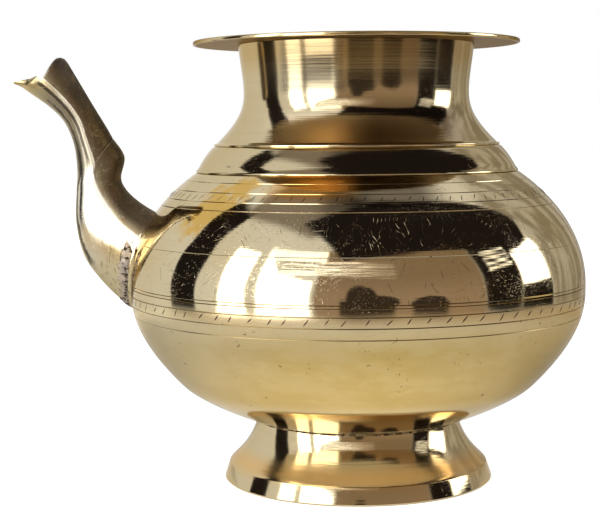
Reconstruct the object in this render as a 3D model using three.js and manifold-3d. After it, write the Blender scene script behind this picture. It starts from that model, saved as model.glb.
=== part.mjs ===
// A spouted brass water pot: turned shells lapped and brazed together, a hollow flared foot, and a
// knuckled spout with an open beak. Lengths are in millimetres, +Z is up, and the spout points to -X.
import * as THREE from "three";
import { mergeVertices } from "three/addons/utils/BufferGeometryUtils.js";
import Module from "manifold-3d";

// Foot
const FOOT_HEIGHT = 24.2;
const FOOT_BASE_RADIUS = 53.6;
const FOOT_EDGE_RADIUS = 51.6;
const FOOT_BAND_HEIGHT = 6.5;
const FOOT_BASE_CHAMFER = 0.5;
const FOOT_NECK_RADIUS = 40.4;
const FOOT_NECK_PULL = [2, -10.6];
const FOOT_EDGE_PULL = [-0.3, 1.1];
const FOOT_WALL = 2.2;

// Belly: a bowl that runs down to the foot as a shallow cone, and a shoulder above the widest line
const BOWL_HEIGHT = 53.8;
const BOWL_ROOT_PULL = [6.3, 1.9];
const BOWL_BEND_RADIUS = 70.7;
const BOWL_BEND_RISE = 15.2;
const BOWL_BEND_ANGLE = 45.2;
const BOWL_BEND_PULL = 8.6;
const BOWL_SIDE_PULL = 8.1;
const BOTTOM_SAG = 6.1;
const BELLY_RADIUS = 90;
const BELLY_WALL = 2;
const SHOULDER_HEIGHT = 44.4;
const SHOULDER_CROWN = 62;

// Neck piece: a collar that laps over the shoulder, a turned step and the waisted neck
const COLLAR_RADIUS = 63.5;
const COLLAR_HEIGHT = 10.6;
const COLLAR_CROWN = 0.6;
const STEP_RADIUS = 56.2;
const STEP_HEIGHT = 0.8;
const NECK_ROOT_RADIUS = 55.2;
const NECK_ROOT_PULL = 14;
const NECK_HEIGHT = 38.2;
const NECK_TOP_RADIUS = 46.5;
const NECK_TOP_PULL = 20.7;
const NECK_TOP_LEAN = 2.5;
const NECK_WALL = 2;

// Rim: a flat ring on the neck's end
const RIM_RADIUS = 64.2;
const RIM_THICKNESS = 1.5;
const RIM_EDGE_ROUND = 0.45;

// Joints
const FIT_GAP = 0.3;
const TONGUE_HEIGHT = 4;
const TONGUE_WALL = 1.4;
const BEAD_RADIUS = 0.6;
const BEAD_GAP = 0.1;
const KNUCKLE_GAP = 0.6;

// Spout: rails measured out from the belly's side and up from its widest line, one point a station
const SPOUT_WALL = 1.5;
const SPOUT_HOLE_RADIUS = 10;
const SPOUT_HOLE_RISE = 15;
const SPOUT_BRAZE_HEIGHT = 1.4;
const SPOUT_BRAZE_WIDTH = 4.5;
const SPOUT_BRAZE_STATIONS = 3;
const KNUCKLE = 6;
const NOTCH = 10;
const RIDGE_RAIL = [
  [-10, 15.5], [-2, 20], [5.2, 25.3], [10.3, 31.8], [12.9, 39], [13.8, 45], [13.9, 48.6],
  [16.6, 57.4], [20.7, 66.6], [26.5, 74], [34.1, 82.8], [38.8, 81.6], [45.2, 80.6],
];
const UNDER_RAIL = [
  [-7, -14], [4.5, -6], [13.2, 3], [19, 12], [21.7, 25], [21.3, 37.5], [20.8, 45.5],
  [21.8, 55.5], [25.2, 64.2], [30.6, 70.2], [38.8, 76.2], [42.2, 78.6], [45, 79.8],
];
const ELBOW_RAIL = [
  [-17, 25], [-8.5, 29.5], [-2.5, 33.6], [1.8, 38], [3.6, 42.6], [2.1, 50.8], [5.5, 56.6],
];
const BEAK_RAIL = [[6.6, 58.2], [9.3, 63.1], [14, 71], [19, 79.7], [27, 93.6]];
const MOUTH_EDGE = [
  [36, 81.6], [34.7, 82.7], [32.7, 84.3], [31.4, 86.6], [29.7, 88.5], [27.6, 89.7], [26.2, 90],
  [24.9, 89.3], [22, 85.6],
];
const MOUTH_TRIM = 20;
const SPOUT_HALF_WIDTHS = [15.5, 14.5, 12.8, 11, 9.6, 9, 9, 8.6, 8.4, 8.6, 9, 6, 1.6];
const ELBOW_ARCH_POWER = 1;
const BEAK_ARCH_POWER = 1.25;
const LEAST_RISE_SHARE = 0.25;
const LEAST_SPREAD_SHARE = 0.35;

// Faceting
const TURNS = 48;
const CURVE_STEPS = 7;
const SHORT_CURVE_STEPS = 3;
const HOLE_SIDES = 24;
const SECTION_STEPS = 12;
const STATION_STEPS = 2;
const BEAD_SIDES = 5;
const MERGE_DISTANCE = 1e-4;

// Heights of the joints, stacked from the ground
const BELLY_Z = FOOT_HEIGHT + BOWL_HEIGHT;
const COLLAR_Z = BELLY_Z + SHOULDER_HEIGHT;
const STEP_Z = COLLAR_Z + COLLAR_HEIGHT;
const NECK_Z = STEP_Z + STEP_HEIGHT;
const RIM_Z = NECK_Z + NECK_HEIGHT;

const wasm = await Module();
wasm.setup();

const point = (r, z) => new THREE.Vector2(r, z);

function solidOf(geometry) {
  const bare = geometry.index ? geometry.toNonIndexed() : geometry.clone();
  bare.deleteAttribute("normal");
  bare.deleteAttribute("uv");
  const merged = mergeVertices(bare, MERGE_DISTANCE);
  return new wasm.Manifold(
    new wasm.Mesh({
      numProp: 3,
      vertProperties: new Float32Array(merged.attributes.position.array),
      triVerts: new Uint32Array(merged.index.array),
    }),
  );
}

function geometryOf(solid) {
  const mesh = solid.getMesh();
  const geometry = new THREE.BufferGeometry();
  const position = new Float32Array(mesh.numVert * 3);
  for (let i = 0; i < mesh.numVert; i++) {
    position.set(mesh.vertProperties.subarray(i * mesh.numProp, i * mesh.numProp + 3), i * 3);
  }
  geometry.setAttribute("position", new THREE.BufferAttribute(position, 3));
  geometry.setIndex(new THREE.BufferAttribute(mesh.triVerts, 1));
  return geometry;
}

// Cuts can leave slivers thinner than the metal's grain beside the piece itself.
function largestBody(solid) {
  return solid.decompose().reduce((a, b) => (b.volume() > a.volume() ? b : a));
}

// A turned solid: the profile is given up the outside and down the inside.
function turned(profile) {
  const ends = [profile[0], profile[profile.length - 1]];
  const closed = ends.every((p) => p.x === 0) ? profile : [...profile, profile[0]];
  return new THREE.LatheGeometry(closed, TURNS).rotateX(Math.PI / 2);
}

// The line moved to its left by the distance: inwards for a line that runs up the outside.
function inset(line, distance) {
  return line.map((p, i) => {
    const before = line[Math.max(i - 1, 0)];
    const after = line[Math.min(i + 1, line.length - 1)];
    const into = i > 0 ? p.clone().sub(before).normalize() : after.clone().sub(p).normalize();
    const out = i < line.length - 1 ? after.clone().sub(p).normalize() : into;
    const along = into.clone().add(out).normalize();
    const reach = distance / along.dot(into);
    return point(p.x - along.y * reach, p.y + along.x * reach);
  });
}

// The part of an upward line between two heights, with its ends cut square.
function between(line, low, high) {
  const kept = [];
  line.forEach((p, i) => {
    if (i > 0) {
      const q = line[i - 1];
      [low, high].forEach((z) => {
        const share = (z - q.y) / (p.y - q.y);
        if (share > 0 && share < 1) kept.push(point(q.x + (p.x - q.x) * share, z));
      });
    }
    if (p.y >= low && p.y <= high) kept.push(p);
  });
  return kept;
}

const shoulderDepth = BELLY_RADIUS - COLLAR_RADIUS;
const shoulderReach = shoulderDepth / (1 - Math.sqrt(1 - (SHOULDER_HEIGHT / SHOULDER_CROWN) ** 2));

// The shoulder's outer line is part of an ellipse, upright at the widest line.
function shoulderLine() {
  const end = Math.asin(SHOULDER_HEIGHT / SHOULDER_CROWN);
  const centre = BELLY_RADIUS - shoulderReach;
  const curve = new THREE.EllipseCurve(centre, BELLY_Z, shoulderReach, SHOULDER_CROWN, 0, end);
  return curve.getPoints(CURVE_STEPS);
}

// The bowl's outer line: a shallow cone above the foot, a bend, and up to the widest line.
function bowlLine() {
  const root = point(FOOT_NECK_RADIUS, FOOT_HEIGHT);
  const bend = point(BOWL_BEND_RADIUS, FOOT_HEIGHT + BOWL_BEND_RISE);
  const angle = THREE.MathUtils.degToRad(BOWL_BEND_ANGLE);
  const along = point(Math.cos(angle), Math.sin(angle));
  const reach = (BELLY_RADIUS - BOWL_BEND_RADIUS) / along.x;
  const cone = new THREE.CubicBezierCurve(
    root,
    root.clone().add(point(...BOWL_ROOT_PULL)),
    bend.clone().addScaledVector(along, -BOWL_BEND_PULL),
    bend,
  );
  const side = new THREE.CubicBezierCurve(
    bend,
    bend.clone().addScaledVector(along, reach),
    point(BELLY_RADIUS, BELLY_Z - BOWL_SIDE_PULL),
    point(BELLY_RADIUS, BELLY_Z),
  );
  return [...cone.getPoints(SHORT_CURVE_STEPS), ...side.getPoints(CURVE_STEPS - 2).slice(1)];
}

function collarLine() {
  const low = point(COLLAR_RADIUS, COLLAR_Z);
  const high = point(STEP_RADIUS, STEP_Z);
  const along = high.clone().sub(low).normalize();
  const middle = low.clone().add(high).multiplyScalar(0.5);
  const control = point(middle.x + along.y * 2 * COLLAR_CROWN, middle.y - along.x * 2 * COLLAR_CROWN);
  return new THREE.QuadraticBezierCurve(low, control, high).getPoints(SHORT_CURVE_STEPS);
}

function neckLine() {
  return new THREE.CubicBezierCurve(
    point(NECK_ROOT_RADIUS, NECK_Z),
    point(NECK_ROOT_RADIUS - NECK_ROOT_PULL, NECK_Z + NECK_ROOT_PULL),
    point(NECK_TOP_RADIUS - NECK_TOP_LEAN, RIM_Z - NECK_TOP_PULL),
    point(NECK_TOP_RADIUS, RIM_Z),
  ).getPoints(CURVE_STEPS);
}

function footLine() {
  const flare = new THREE.CubicBezierCurve(
    point(FOOT_EDGE_RADIUS, FOOT_BAND_HEIGHT),
    point(FOOT_EDGE_RADIUS + FOOT_EDGE_PULL[0], FOOT_BAND_HEIGHT + FOOT_EDGE_PULL[1]),
    point(FOOT_NECK_RADIUS + FOOT_NECK_PULL[0], FOOT_HEIGHT + FOOT_NECK_PULL[1]),
    point(FOOT_NECK_RADIUS, FOOT_HEIGHT - FIT_GAP),
  ).getPoints(CURVE_STEPS - 2);
  return [point(FOOT_BASE_RADIUS, FOOT_BASE_CHAMFER), ...flare];
}

// Height of the pot's rounded bottom, which sags inside the foot's neck.
const bottomHeight = (r) => FOOT_HEIGHT - BOTTOM_SAG * (1 - (r / FOOT_NECK_RADIUS) ** 2);

// The rounded bottom from the axis to the foot's neck, lifted from the outer face.
function bottomLine(lift) {
  const line = [];
  for (let i = 0; i <= SHORT_CURVE_STEPS; i++) {
    const r = (FOOT_NECK_RADIUS * i) / SHORT_CURVE_STEPS;
    line.push(point(r, bottomHeight(r) + lift));
  }
  return line;
}

// A ring of brazing metal round the axis.
function bead(radius, z) {
  const line = [];
  for (let i = 0; i < BEAD_SIDES; i++) {
    const angle = ((i + 0.5) / BEAD_SIDES) * 2 * Math.PI;
    line.push(point(radius + BEAD_RADIUS * Math.cos(angle), z + BEAD_RADIUS * Math.sin(angle)));
  }
  return turned(line);
}

function makeRim() {
  const inner = NECK_TOP_RADIUS - NECK_WALL;
  const top = RIM_Z + RIM_THICKNESS;
  return turned([
    point(inner, RIM_Z),
    point(RIM_RADIUS - RIM_EDGE_ROUND, RIM_Z),
    point(RIM_RADIUS, RIM_Z + RIM_EDGE_ROUND),
    point(RIM_RADIUS, top - RIM_EDGE_ROUND),
    point(RIM_RADIUS - RIM_EDGE_ROUND, top),
    point(inner + RIM_EDGE_ROUND, top),
    point(inner, top - RIM_EDGE_ROUND),
  ]);
}

function makeNeck() {
  const outside = [
    ...collarLine(),
    point(STEP_RADIUS, STEP_Z + STEP_HEIGHT / 2),
    ...neckLine(),
  ];
  const inside = between(inset([...collarLine(), ...neckLine().slice(1)], NECK_WALL), COLLAR_Z, RIM_Z);
  const top = inside[inside.length - 1];
  if (top.y < RIM_Z) inside.push(point(NECK_TOP_RADIUS - NECK_WALL, RIM_Z));
  return turned([...outside, ...inside.reverse()]);
}

// The tongue that rises inside the neck's collar.
function collarTongue(distance, low) {
  return between(inset(collarLine(), distance), low, COLLAR_Z + TONGUE_HEIGHT);
}

function spoutHole() {
  return new THREE.CylinderGeometry(SPOUT_HOLE_RADIUS, SPOUT_HOLE_RADIUS, BELLY_RADIUS, HOLE_SIDES)
    .rotateZ(Math.PI / 2)
    .translate(-BELLY_RADIUS, 0, BELLY_Z + SPOUT_HOLE_RISE);
}

function makeShoulder() {
  const outside = shoulderLine();
  const inside = between(inset(outside, BELLY_WALL), BELLY_Z, COLLAR_Z);
  const tongueOut = collarTongue(NECK_WALL + FIT_GAP, COLLAR_Z);
  const tongueIn = collarTongue(NECK_WALL + FIT_GAP + TONGUE_WALL, COLLAR_Z - BELLY_WALL);
  const shell = turned([...outside, ...tongueOut, ...tongueIn.reverse(), ...inside.reverse()]);
  return geometryOf(solidOf(shell).subtract(solidOf(spoutHole())));
}

function makeBowl() {
  const tongueTop = BELLY_Z + TONGUE_HEIGHT;
  const tongueOut = between(inset(shoulderLine(), BELLY_WALL + FIT_GAP), BELLY_Z, tongueTop);
  const tongueIn = between(inset(shoulderLine(), BELLY_WALL + FIT_GAP + TONGUE_WALL), BELLY_Z, tongueTop);
  return turned([
    ...bottomLine(0).slice(0, -1),
    ...bowlLine(),
    ...tongueOut,
    ...tongueIn.reverse(),
    ...inset(bowlLine(), BELLY_WALL).slice(0, -1).reverse(),
    ...bottomLine(BELLY_WALL).slice(0, -1).reverse(),
  ]);
}

function makeFoot() {
  const outside = footLine();
  const mouth = FOOT_NECK_RADIUS - FOOT_WALL;
  const top = point(mouth, bottomHeight(mouth) - 2 * FIT_GAP);
  const inside = between(inset(outside, FOOT_WALL), FOOT_BASE_CHAMFER, top.y - FIT_GAP);
  return turned([
    point(FOOT_BASE_RADIUS - FOOT_BASE_CHAMFER, 0),
    ...outside,
    top,
    ...inside.reverse(),
    point(inside[inside.length - 1].x, 0),
  ]);
}

// The bead in the corner between the foot's neck and the bowl's cone.
const footBeadPlace = () => {
  const slope = Math.atan2(BOWL_ROOT_PULL[1], BOWL_ROOT_PULL[0]);
  const off = BEAD_RADIUS + BEAD_GAP;
  return [FOOT_NECK_RADIUS + off, FOOT_HEIGHT + off * (Math.tan(slope) - 1 / Math.cos(slope))];
};

const neckBeadPlace = () => {
  const wall = collarTongue(NECK_WALL, COLLAR_Z);
  const end = wall[wall.length - 1];
  return [end.x - (BEAD_RADIUS + BEAD_GAP) * 2, end.y + BEAD_RADIUS + BEAD_GAP];
};

const bellyBeadPlace = () => {
  const high = BELLY_Z + TONGUE_HEIGHT + 2 * (BEAD_RADIUS + BEAD_GAP);
  const wall = between(inset(shoulderLine(), BELLY_WALL), BELLY_Z, high);
  const end = wall[wall.length - 1];
  return [end.x - BEAD_RADIUS - BEAD_GAP, BELLY_Z + TONGUE_HEIGHT + BEAD_RADIUS + BEAD_GAP];
};

const spoutPoint = ([out, up]) => point(-BELLY_RADIUS - out, BELLY_Z + up);

// A rail's points, a few to each station, from one station to another.
function railPoints(rail, from, to) {
  const curve = new THREE.SplineCurve(rail.map(spoutPoint));
  const points = [];
  for (let i = from * STATION_STEPS; i <= to * STATION_STEPS; i++) {
    points.push(curve.getPoint(i / STATION_STEPS / (rail.length - 1)));
  }
  return points;
}

function halfWidths(from, to) {
  const curve = new THREE.SplineCurve(SPOUT_HALF_WIDTHS.map((half, i) => point(i, half)));
  const widths = [];
  for (let i = from * STATION_STEPS; i <= to * STATION_STEPS; i++) {
    widths.push(curve.getPoint(i / STATION_STEPS / (SPOUT_HALF_WIDTHS.length - 1)).y);
  }
  return widths;
}

// Half a spout section: from one side ridge over the apex to the other ridge, grown or shrunk.
function arch(ridge, apex, half, power, grow) {
  const height = apex.distanceTo(ridge);
  const up = apex.clone().sub(ridge).divideScalar(height);
  const reach = Math.max(height + grow, height * LEAST_RISE_SHARE);
  const spread = Math.max(half + grow, half * LEAST_SPREAD_SHARE);
  const points = [];
  for (let i = 0; i <= SECTION_STEPS; i++) {
    const angle = (i / SECTION_STEPS) * Math.PI;
    const side = Math.cos(angle);
    const y = spread * Math.sign(side) * Math.abs(side) ** power;
    const rise = i % SECTION_STEPS === 0 ? 0 : reach * Math.sin(angle) ** power;
    points.push(new THREE.Vector3(ridge.x + up.x * rise, y, ridge.y + up.y * rise));
  }
  return points;
}

// Closed rings of points joined one to the next, with a fan or a strip over each end.
function lofted(rings, capPairs) {
  const count = rings[0].length;
  const position = rings.flat().flatMap((p) => [p.x, p.y, p.z]);
  const index = [];
  for (let i = 0; i < rings.length - 1; i++) {
    for (let j = 0; j < count; j++) {
      const a = i * count + j;
      const b = i * count + ((j + 1) % count);
      index.push(a, b, b + count, a, b + count, a + count);
    }
  }
  const last = (rings.length - 1) * count;
  capPairs(count).forEach(([a, b, c]) => {
    index.push(a, c, b);
    index.push(last + a, last + b, last + c);
  });
  const geometry = new THREE.BufferGeometry();
  geometry.setAttribute("position", new THREE.Float32BufferAttribute(position, 3));
  geometry.setIndex(index);
  return geometry;
}

// End faces of a shell's ring: the outer half runs one way and the inner half runs back.
function stripCap(count) {
  const faces = [];
  for (let i = 0; i < count / 2 - 1; i++) {
    const j = count - 1 - i;
    faces.push([i, i + 1, j - 1], [i, j - 1, j]);
  }
  return faces;
}

function fanCap(count) {
  const faces = [];
  for (let i = 1; i < count - 1; i++) faces.push([0, i, i + 1]);
  return faces;
}

// One of the spout's shells, from its ridge edges over its apex rail.
function spoutShell(ridges, apexes, halves, power, lift) {
  const rings = ridges.map((ridge, i) => {
    const seat = apexes[i].clone().sub(ridge).normalize().multiplyScalar(lift).add(ridge);
    const outer = arch(seat, apexes[i], halves[i], power, 0);
    const inner = arch(seat, apexes[i], halves[i], power, -SPOUT_WALL);
    return [...outer, ...inner.reverse()];
  });
  return facingOut(lofted(rings, stripCap));
}

function facingOut(geometry) {
  const solid = solidOf(geometry);
  if (solid.volume() > 0) return solid;
  const flipped = geometry.clone();
  const index = Array.from(geometry.index.array);
  for (let i = 0; i < index.length; i += 3) [index[i + 1], index[i + 2]] = [index[i + 2], index[i + 1]];
  flipped.setIndex(index);
  return solidOf(flipped);
}

// The belly as one full solid, grown, which cuts the spout's root to fit.
function bellyBlock(grow) {
  const line = inset([...bowlLine().slice(0, -1), ...shoulderLine()], -grow);
  const low = point(0, line[0].y);
  const high = point(0, line[line.length - 1].y);
  return solidOf(turned([low, ...line, high]));
}

// The spout's root as a full solid, grown by a length for each station step.
function rootBlock(growths) {
  const stations = (growths.length - 1) / STATION_STEPS;
  const ridges = railPoints(RIDGE_RAIL, 0, stations);
  const unders = railPoints(UNDER_RAIL, 0, stations);
  const tops = railPoints(ELBOW_RAIL, 0, stations);
  const halves = halfWidths(0, stations);
  const rings = growths.map((grow, i) => {
    const over = arch(ridges[i], tops[i], halves[i], ELBOW_ARCH_POWER, grow);
    const below = arch(ridges[i], unders[i], halves[i], 1, grow);
    return [...over, ...below.reverse().slice(1, -1)];
  });
  return facingOut(lofted(rings, fanCap));
}

function makeTrough() {
  const last = RIDGE_RAIL.length - 1;
  const ridges = railPoints(RIDGE_RAIL, 0, last);
  const unders = railPoints(UNDER_RAIL, 0, last);
  const shell = spoutShell(ridges, unders, halfWidths(0, last), 1, 0);
  return geometryOf(largestBody(shell.subtract(bellyBlock(FIT_GAP))));
}

function makeElbowCover() {
  const ridges = railPoints(RIDGE_RAIL, 0, KNUCKLE);
  const tops = railPoints(ELBOW_RAIL, 0, KNUCKLE);
  const shell = spoutShell(ridges, tops, halfWidths(0, KNUCKLE), ELBOW_ARCH_POWER, FIT_GAP);
  return geometryOf(largestBody(shell.subtract(bellyBlock(FIT_GAP))));
}

function makeBeakCover() {
  const ridges = railPoints(RIDGE_RAIL, KNUCKLE, NOTCH);
  const along = ridges[1].clone().sub(ridges[0]).normalize();
  ridges[0].addScaledVector(along, KNUCKLE_GAP);
  const tops = railPoints(BEAK_RAIL, 0, NOTCH - KNUCKLE);
  const shell = spoutShell(ridges, tops, halfWidths(KNUCKLE, NOTCH), BEAK_ARCH_POWER, FIT_GAP);
  return geometryOf(largestBody(shell.subtract(mouthTrim())));
}

// What is cut off the beak, past the line that its mouth's edge draws seen from the side.
function mouthTrim() {
  const edge = MOUTH_EDGE.map(spoutPoint);
  const [first, last] = [edge[0], edge[edge.length - 1]];
  const top = last.y + MOUTH_TRIM;
  const far = first.x - MOUTH_TRIM;
  const outline = new THREE.Shape([...edge, point(last.x, top), point(far, top), point(far, first.y)]);
  const block = new THREE.ExtrudeGeometry(outline, { depth: 2 * MOUTH_TRIM, bevelEnabled: false });
  return solidOf(block.rotateX(Math.PI / 2).translate(0, MOUTH_TRIM, 0));
}

// The bead of solder round the spout's root, a band that follows the belly.
function makeSpoutBraze() {
  const levels = (grow) => Array.from({ length: SPOUT_BRAZE_STATIONS * STATION_STEPS + 1 }, () => grow);
  const band = bellyBlock(FIT_GAP + SPOUT_BRAZE_WIDTH).subtract(bellyBlock(FIT_GAP));
  const sleeve = rootBlock(levels(SPOUT_BRAZE_HEIGHT)).subtract(rootBlock(levels(FIT_GAP)));
  return geometryOf(largestBody(sleeve.intersect(band)));
}

const polished = new THREE.MeshStandardMaterial({ color: 0xcdb680, roughness: 0.2, metalness: 1 });
const turnedBrass = new THREE.MeshStandardMaterial({ color: 0xc2a566, roughness: 0.3, metalness: 1 });
const dullBrass = new THREE.MeshStandardMaterial({ color: 0x7a6640, roughness: 0.5, metalness: 1 });
const solder = new THREE.MeshStandardMaterial({ color: 0x8f877a, roughness: 0.8, metalness: 0.6 });

const pot = new THREE.Group();

function add(name, geometry, material) {
  const mesh = new THREE.Mesh(geometry, material);
  mesh.name = name;
  pot.add(mesh);
}

add("rim", makeRim(), turnedBrass);
add("neck", makeNeck(), turnedBrass);
add("shoulder", makeShoulder(), polished);
add("bowl", makeBowl(), polished);
add("foot", makeFoot(), turnedBrass);
add("spout_trough", makeTrough(), polished);
add("spout_elbow_cover", makeElbowCover(), dullBrass);
add("spout_beak_cover", makeBeakCover(), dullBrass);
add("spout_braze", makeSpoutBraze(), solder);
add("foot_braze", bead(...footBeadPlace()), solder);
add("belly_braze", bead(...bellyBeadPlace()), solder);
add("neck_braze", bead(...neckBeadPlace()), solder);

// The pot is set so that its bounding box is centred over the origin, on the ground.
const box = new THREE.Box3().setFromObject(pot);
pot.position.x = -(box.min.x + box.max.x) / 2;
const model = new THREE.Group();
model.add(pot);

export default model;
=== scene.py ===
"""A spouted brass water pot: turned shells, a soldered spout and chiselled ornament, in a plain studio.

Lengths are in metres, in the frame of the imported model. The pot's turning axis stands at AXIS_X, the
spout points to -X, and an angle round the pot is 0 towards -Y and grows towards +X.
"""

import math

import bmesh
import bpy
from bpy.props import FloatProperty, FloatVectorProperty, IntProperty, PointerProperty
from mathutils import Matrix, Vector, noise


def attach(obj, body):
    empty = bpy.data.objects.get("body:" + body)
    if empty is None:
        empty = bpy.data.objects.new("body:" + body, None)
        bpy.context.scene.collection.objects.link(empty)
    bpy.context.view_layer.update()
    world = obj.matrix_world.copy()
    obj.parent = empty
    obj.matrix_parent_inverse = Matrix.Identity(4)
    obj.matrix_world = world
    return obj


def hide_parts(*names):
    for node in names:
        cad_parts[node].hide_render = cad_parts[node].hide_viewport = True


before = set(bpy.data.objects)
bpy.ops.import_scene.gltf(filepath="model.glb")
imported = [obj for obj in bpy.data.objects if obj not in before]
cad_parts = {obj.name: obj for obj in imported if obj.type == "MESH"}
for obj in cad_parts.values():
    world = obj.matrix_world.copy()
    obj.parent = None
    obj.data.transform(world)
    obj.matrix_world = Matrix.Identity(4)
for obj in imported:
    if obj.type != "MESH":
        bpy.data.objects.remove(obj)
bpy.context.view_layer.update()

bl_info = {
    "name": "Spouted brass water pot",
    "version": (1, 0, 0),
    "blender": (4, 5, 0),
    "location": "3D View > Sidebar > Water pot",
    "description": "Builds a spouted brass water pot with a soldered spout and chiselled ornament",
    "category": "Add Mesh",
}

MM = 0.001
BODY = "root"
AXIS_X = 0.0226

# Spout rails, measured out from the belly's side and up from its widest line, in millimetres.
RIDGE_RAIL = [
    (-12, 15), (-4.5, 19.8), (2.6, 25.3), (7.4, 31.8), (11.6, 39), (12.7, 44.5), (12.7, 48.8),
    (15.3, 57.2), (18.5, 66.4), (25, 75), (33.2, 82.2), (38.6, 81.6), (45.1, 80.8),
]
UNDER_RAIL = [
    (-7, -14), (4.5, -6), (13.2, 3), (19, 12), (21.7, 25), (21.3, 37.5), (20.8, 45.5),
    (21.8, 55.5), (25.2, 64.2), (30.6, 70.2), (38.8, 76.2), (42.2, 78.6), (45, 79.8),
]
ELBOW_RAIL = [(-17, 25), (-8.5, 29.5), (-2.5, 33.6), (1.8, 38), (3.6, 42.6), (2.1, 50.8), (6.4, 57.9)]
BEAK_RAIL = [(6.6, 58.2), (9.3, 63.1), (14, 71), (19, 79.7), (27, 93.6)]
MOUTH_EDGE = [
    (35.2, 81), (33, 82.2), (31.9, 83), (31.1, 84.2), (30.3, 85.8), (29.4, 87.3), (28.6, 88.5), (27.7, 89.5),
    (26.2, 90), (24.9, 89.3), (22, 85.6),
]
HALF_WIDTHS = [15.5, 14.5, 12.8, 11, 9.6, 9, 9, 8.6, 8.4, 8.4, 8.2, 4.6, 1.4]

# Stations, counted along RIDGE_RAIL: the knuckle, the corner of the beak's mouth and the tip.
KNUCKLE = 6
NOTCH = 10
TIP = len(RIDGE_RAIL) - 1

# Columns over the spout's arch, in its shells and in the solder round its root.
COLUMNS = 61
ROOT_COLUMNS = 81

# The lapped seams: how high a tongue stands, how thick it is and how much play it has.
TONGUE = 4 * MM
TONGUE_WALL = 1.4 * MM
TONGUE_PLAY = 0.3 * MM
# How far the softened edges of the seam at the widest line reach.
SEAM_EDGE = 0.3 * MM
FOOT_WALL = 2.2 * MM
# The slope of the bowl's bend, the neck's radius at its foot and the height of its turned step.
BEND_SLOPE = math.radians(45.2)
NECK_FOOT = 55.2 * MM
STEP_RISE = 0.8 * MM
# The brazed beads inside the laps: radius under the collar and height over the seam.
COLLAR_BEAD = 57.4 * MM
BEAD_RISE = 4.7 * MM
# The covers lie this much over the ridge of the trough.
COVER_LIFT = 0.02 * MM
# The frieze ends at this x, beside the spout, and is cut again after these turns.
FRIEZE_END = -0.052
FRIEZE_TURNS = (0.0, 180.0, 97.0)
# How far the burr of a cut stands over the brass, and how far a stroke's foot lies under it.
BORDER_RISE = 0.06 * MM
STROKE_RISE = 0.035 * MM
STROKE_SINK = 0.025 * MM
# Sections of the solder round the spout's root: millimetres along the spout and off the belly.
FLANGE = [(-0.1, -0.3), (-0.1, 0.2), (0.5, 0.38), (1.2, 0.32), (1.6, 0.1), (1.6, -0.3)]
BEAD = [(1.4, -0.2), (1.5, 0.2), (2.5, 0.4), (3.8, 0.45), (5.2, 0.35), (6.3, 0.05), (6.3, -0.2)]

# How far the solder sinks into the belly where it passes over the cover, in millimetres.
BEAD_SINK = 1.3
FLANGE_SINK = 0.78

WHITE = (1.0, 1.0, 1.0)
FLOOR_REACH = 6.0
FLOOR_GLOW = 0.62
LAMP_TARGET = Vector((0, 0, 0.08))
# The dome of cards: its radius, the height that it is seen from, and how the ceiling is turned.
DOME_RADIUS = 2.6
EYE_HEIGHT = 0.09
CEILING_TURN = math.radians(27)

# Engraved lines: millimetres above the ground, and how deep against the deepest.
SHOULDER_LINES = {79.1: 0.9, 95.2: 0.45, 110.1: 1.0, 113.0: 0.9, 116.2: 0.9, 119.6: 0.7}
BOWL_LINES = {67.0: 0.8, 71.1: 0.9, 75.0: 0.9}

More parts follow.
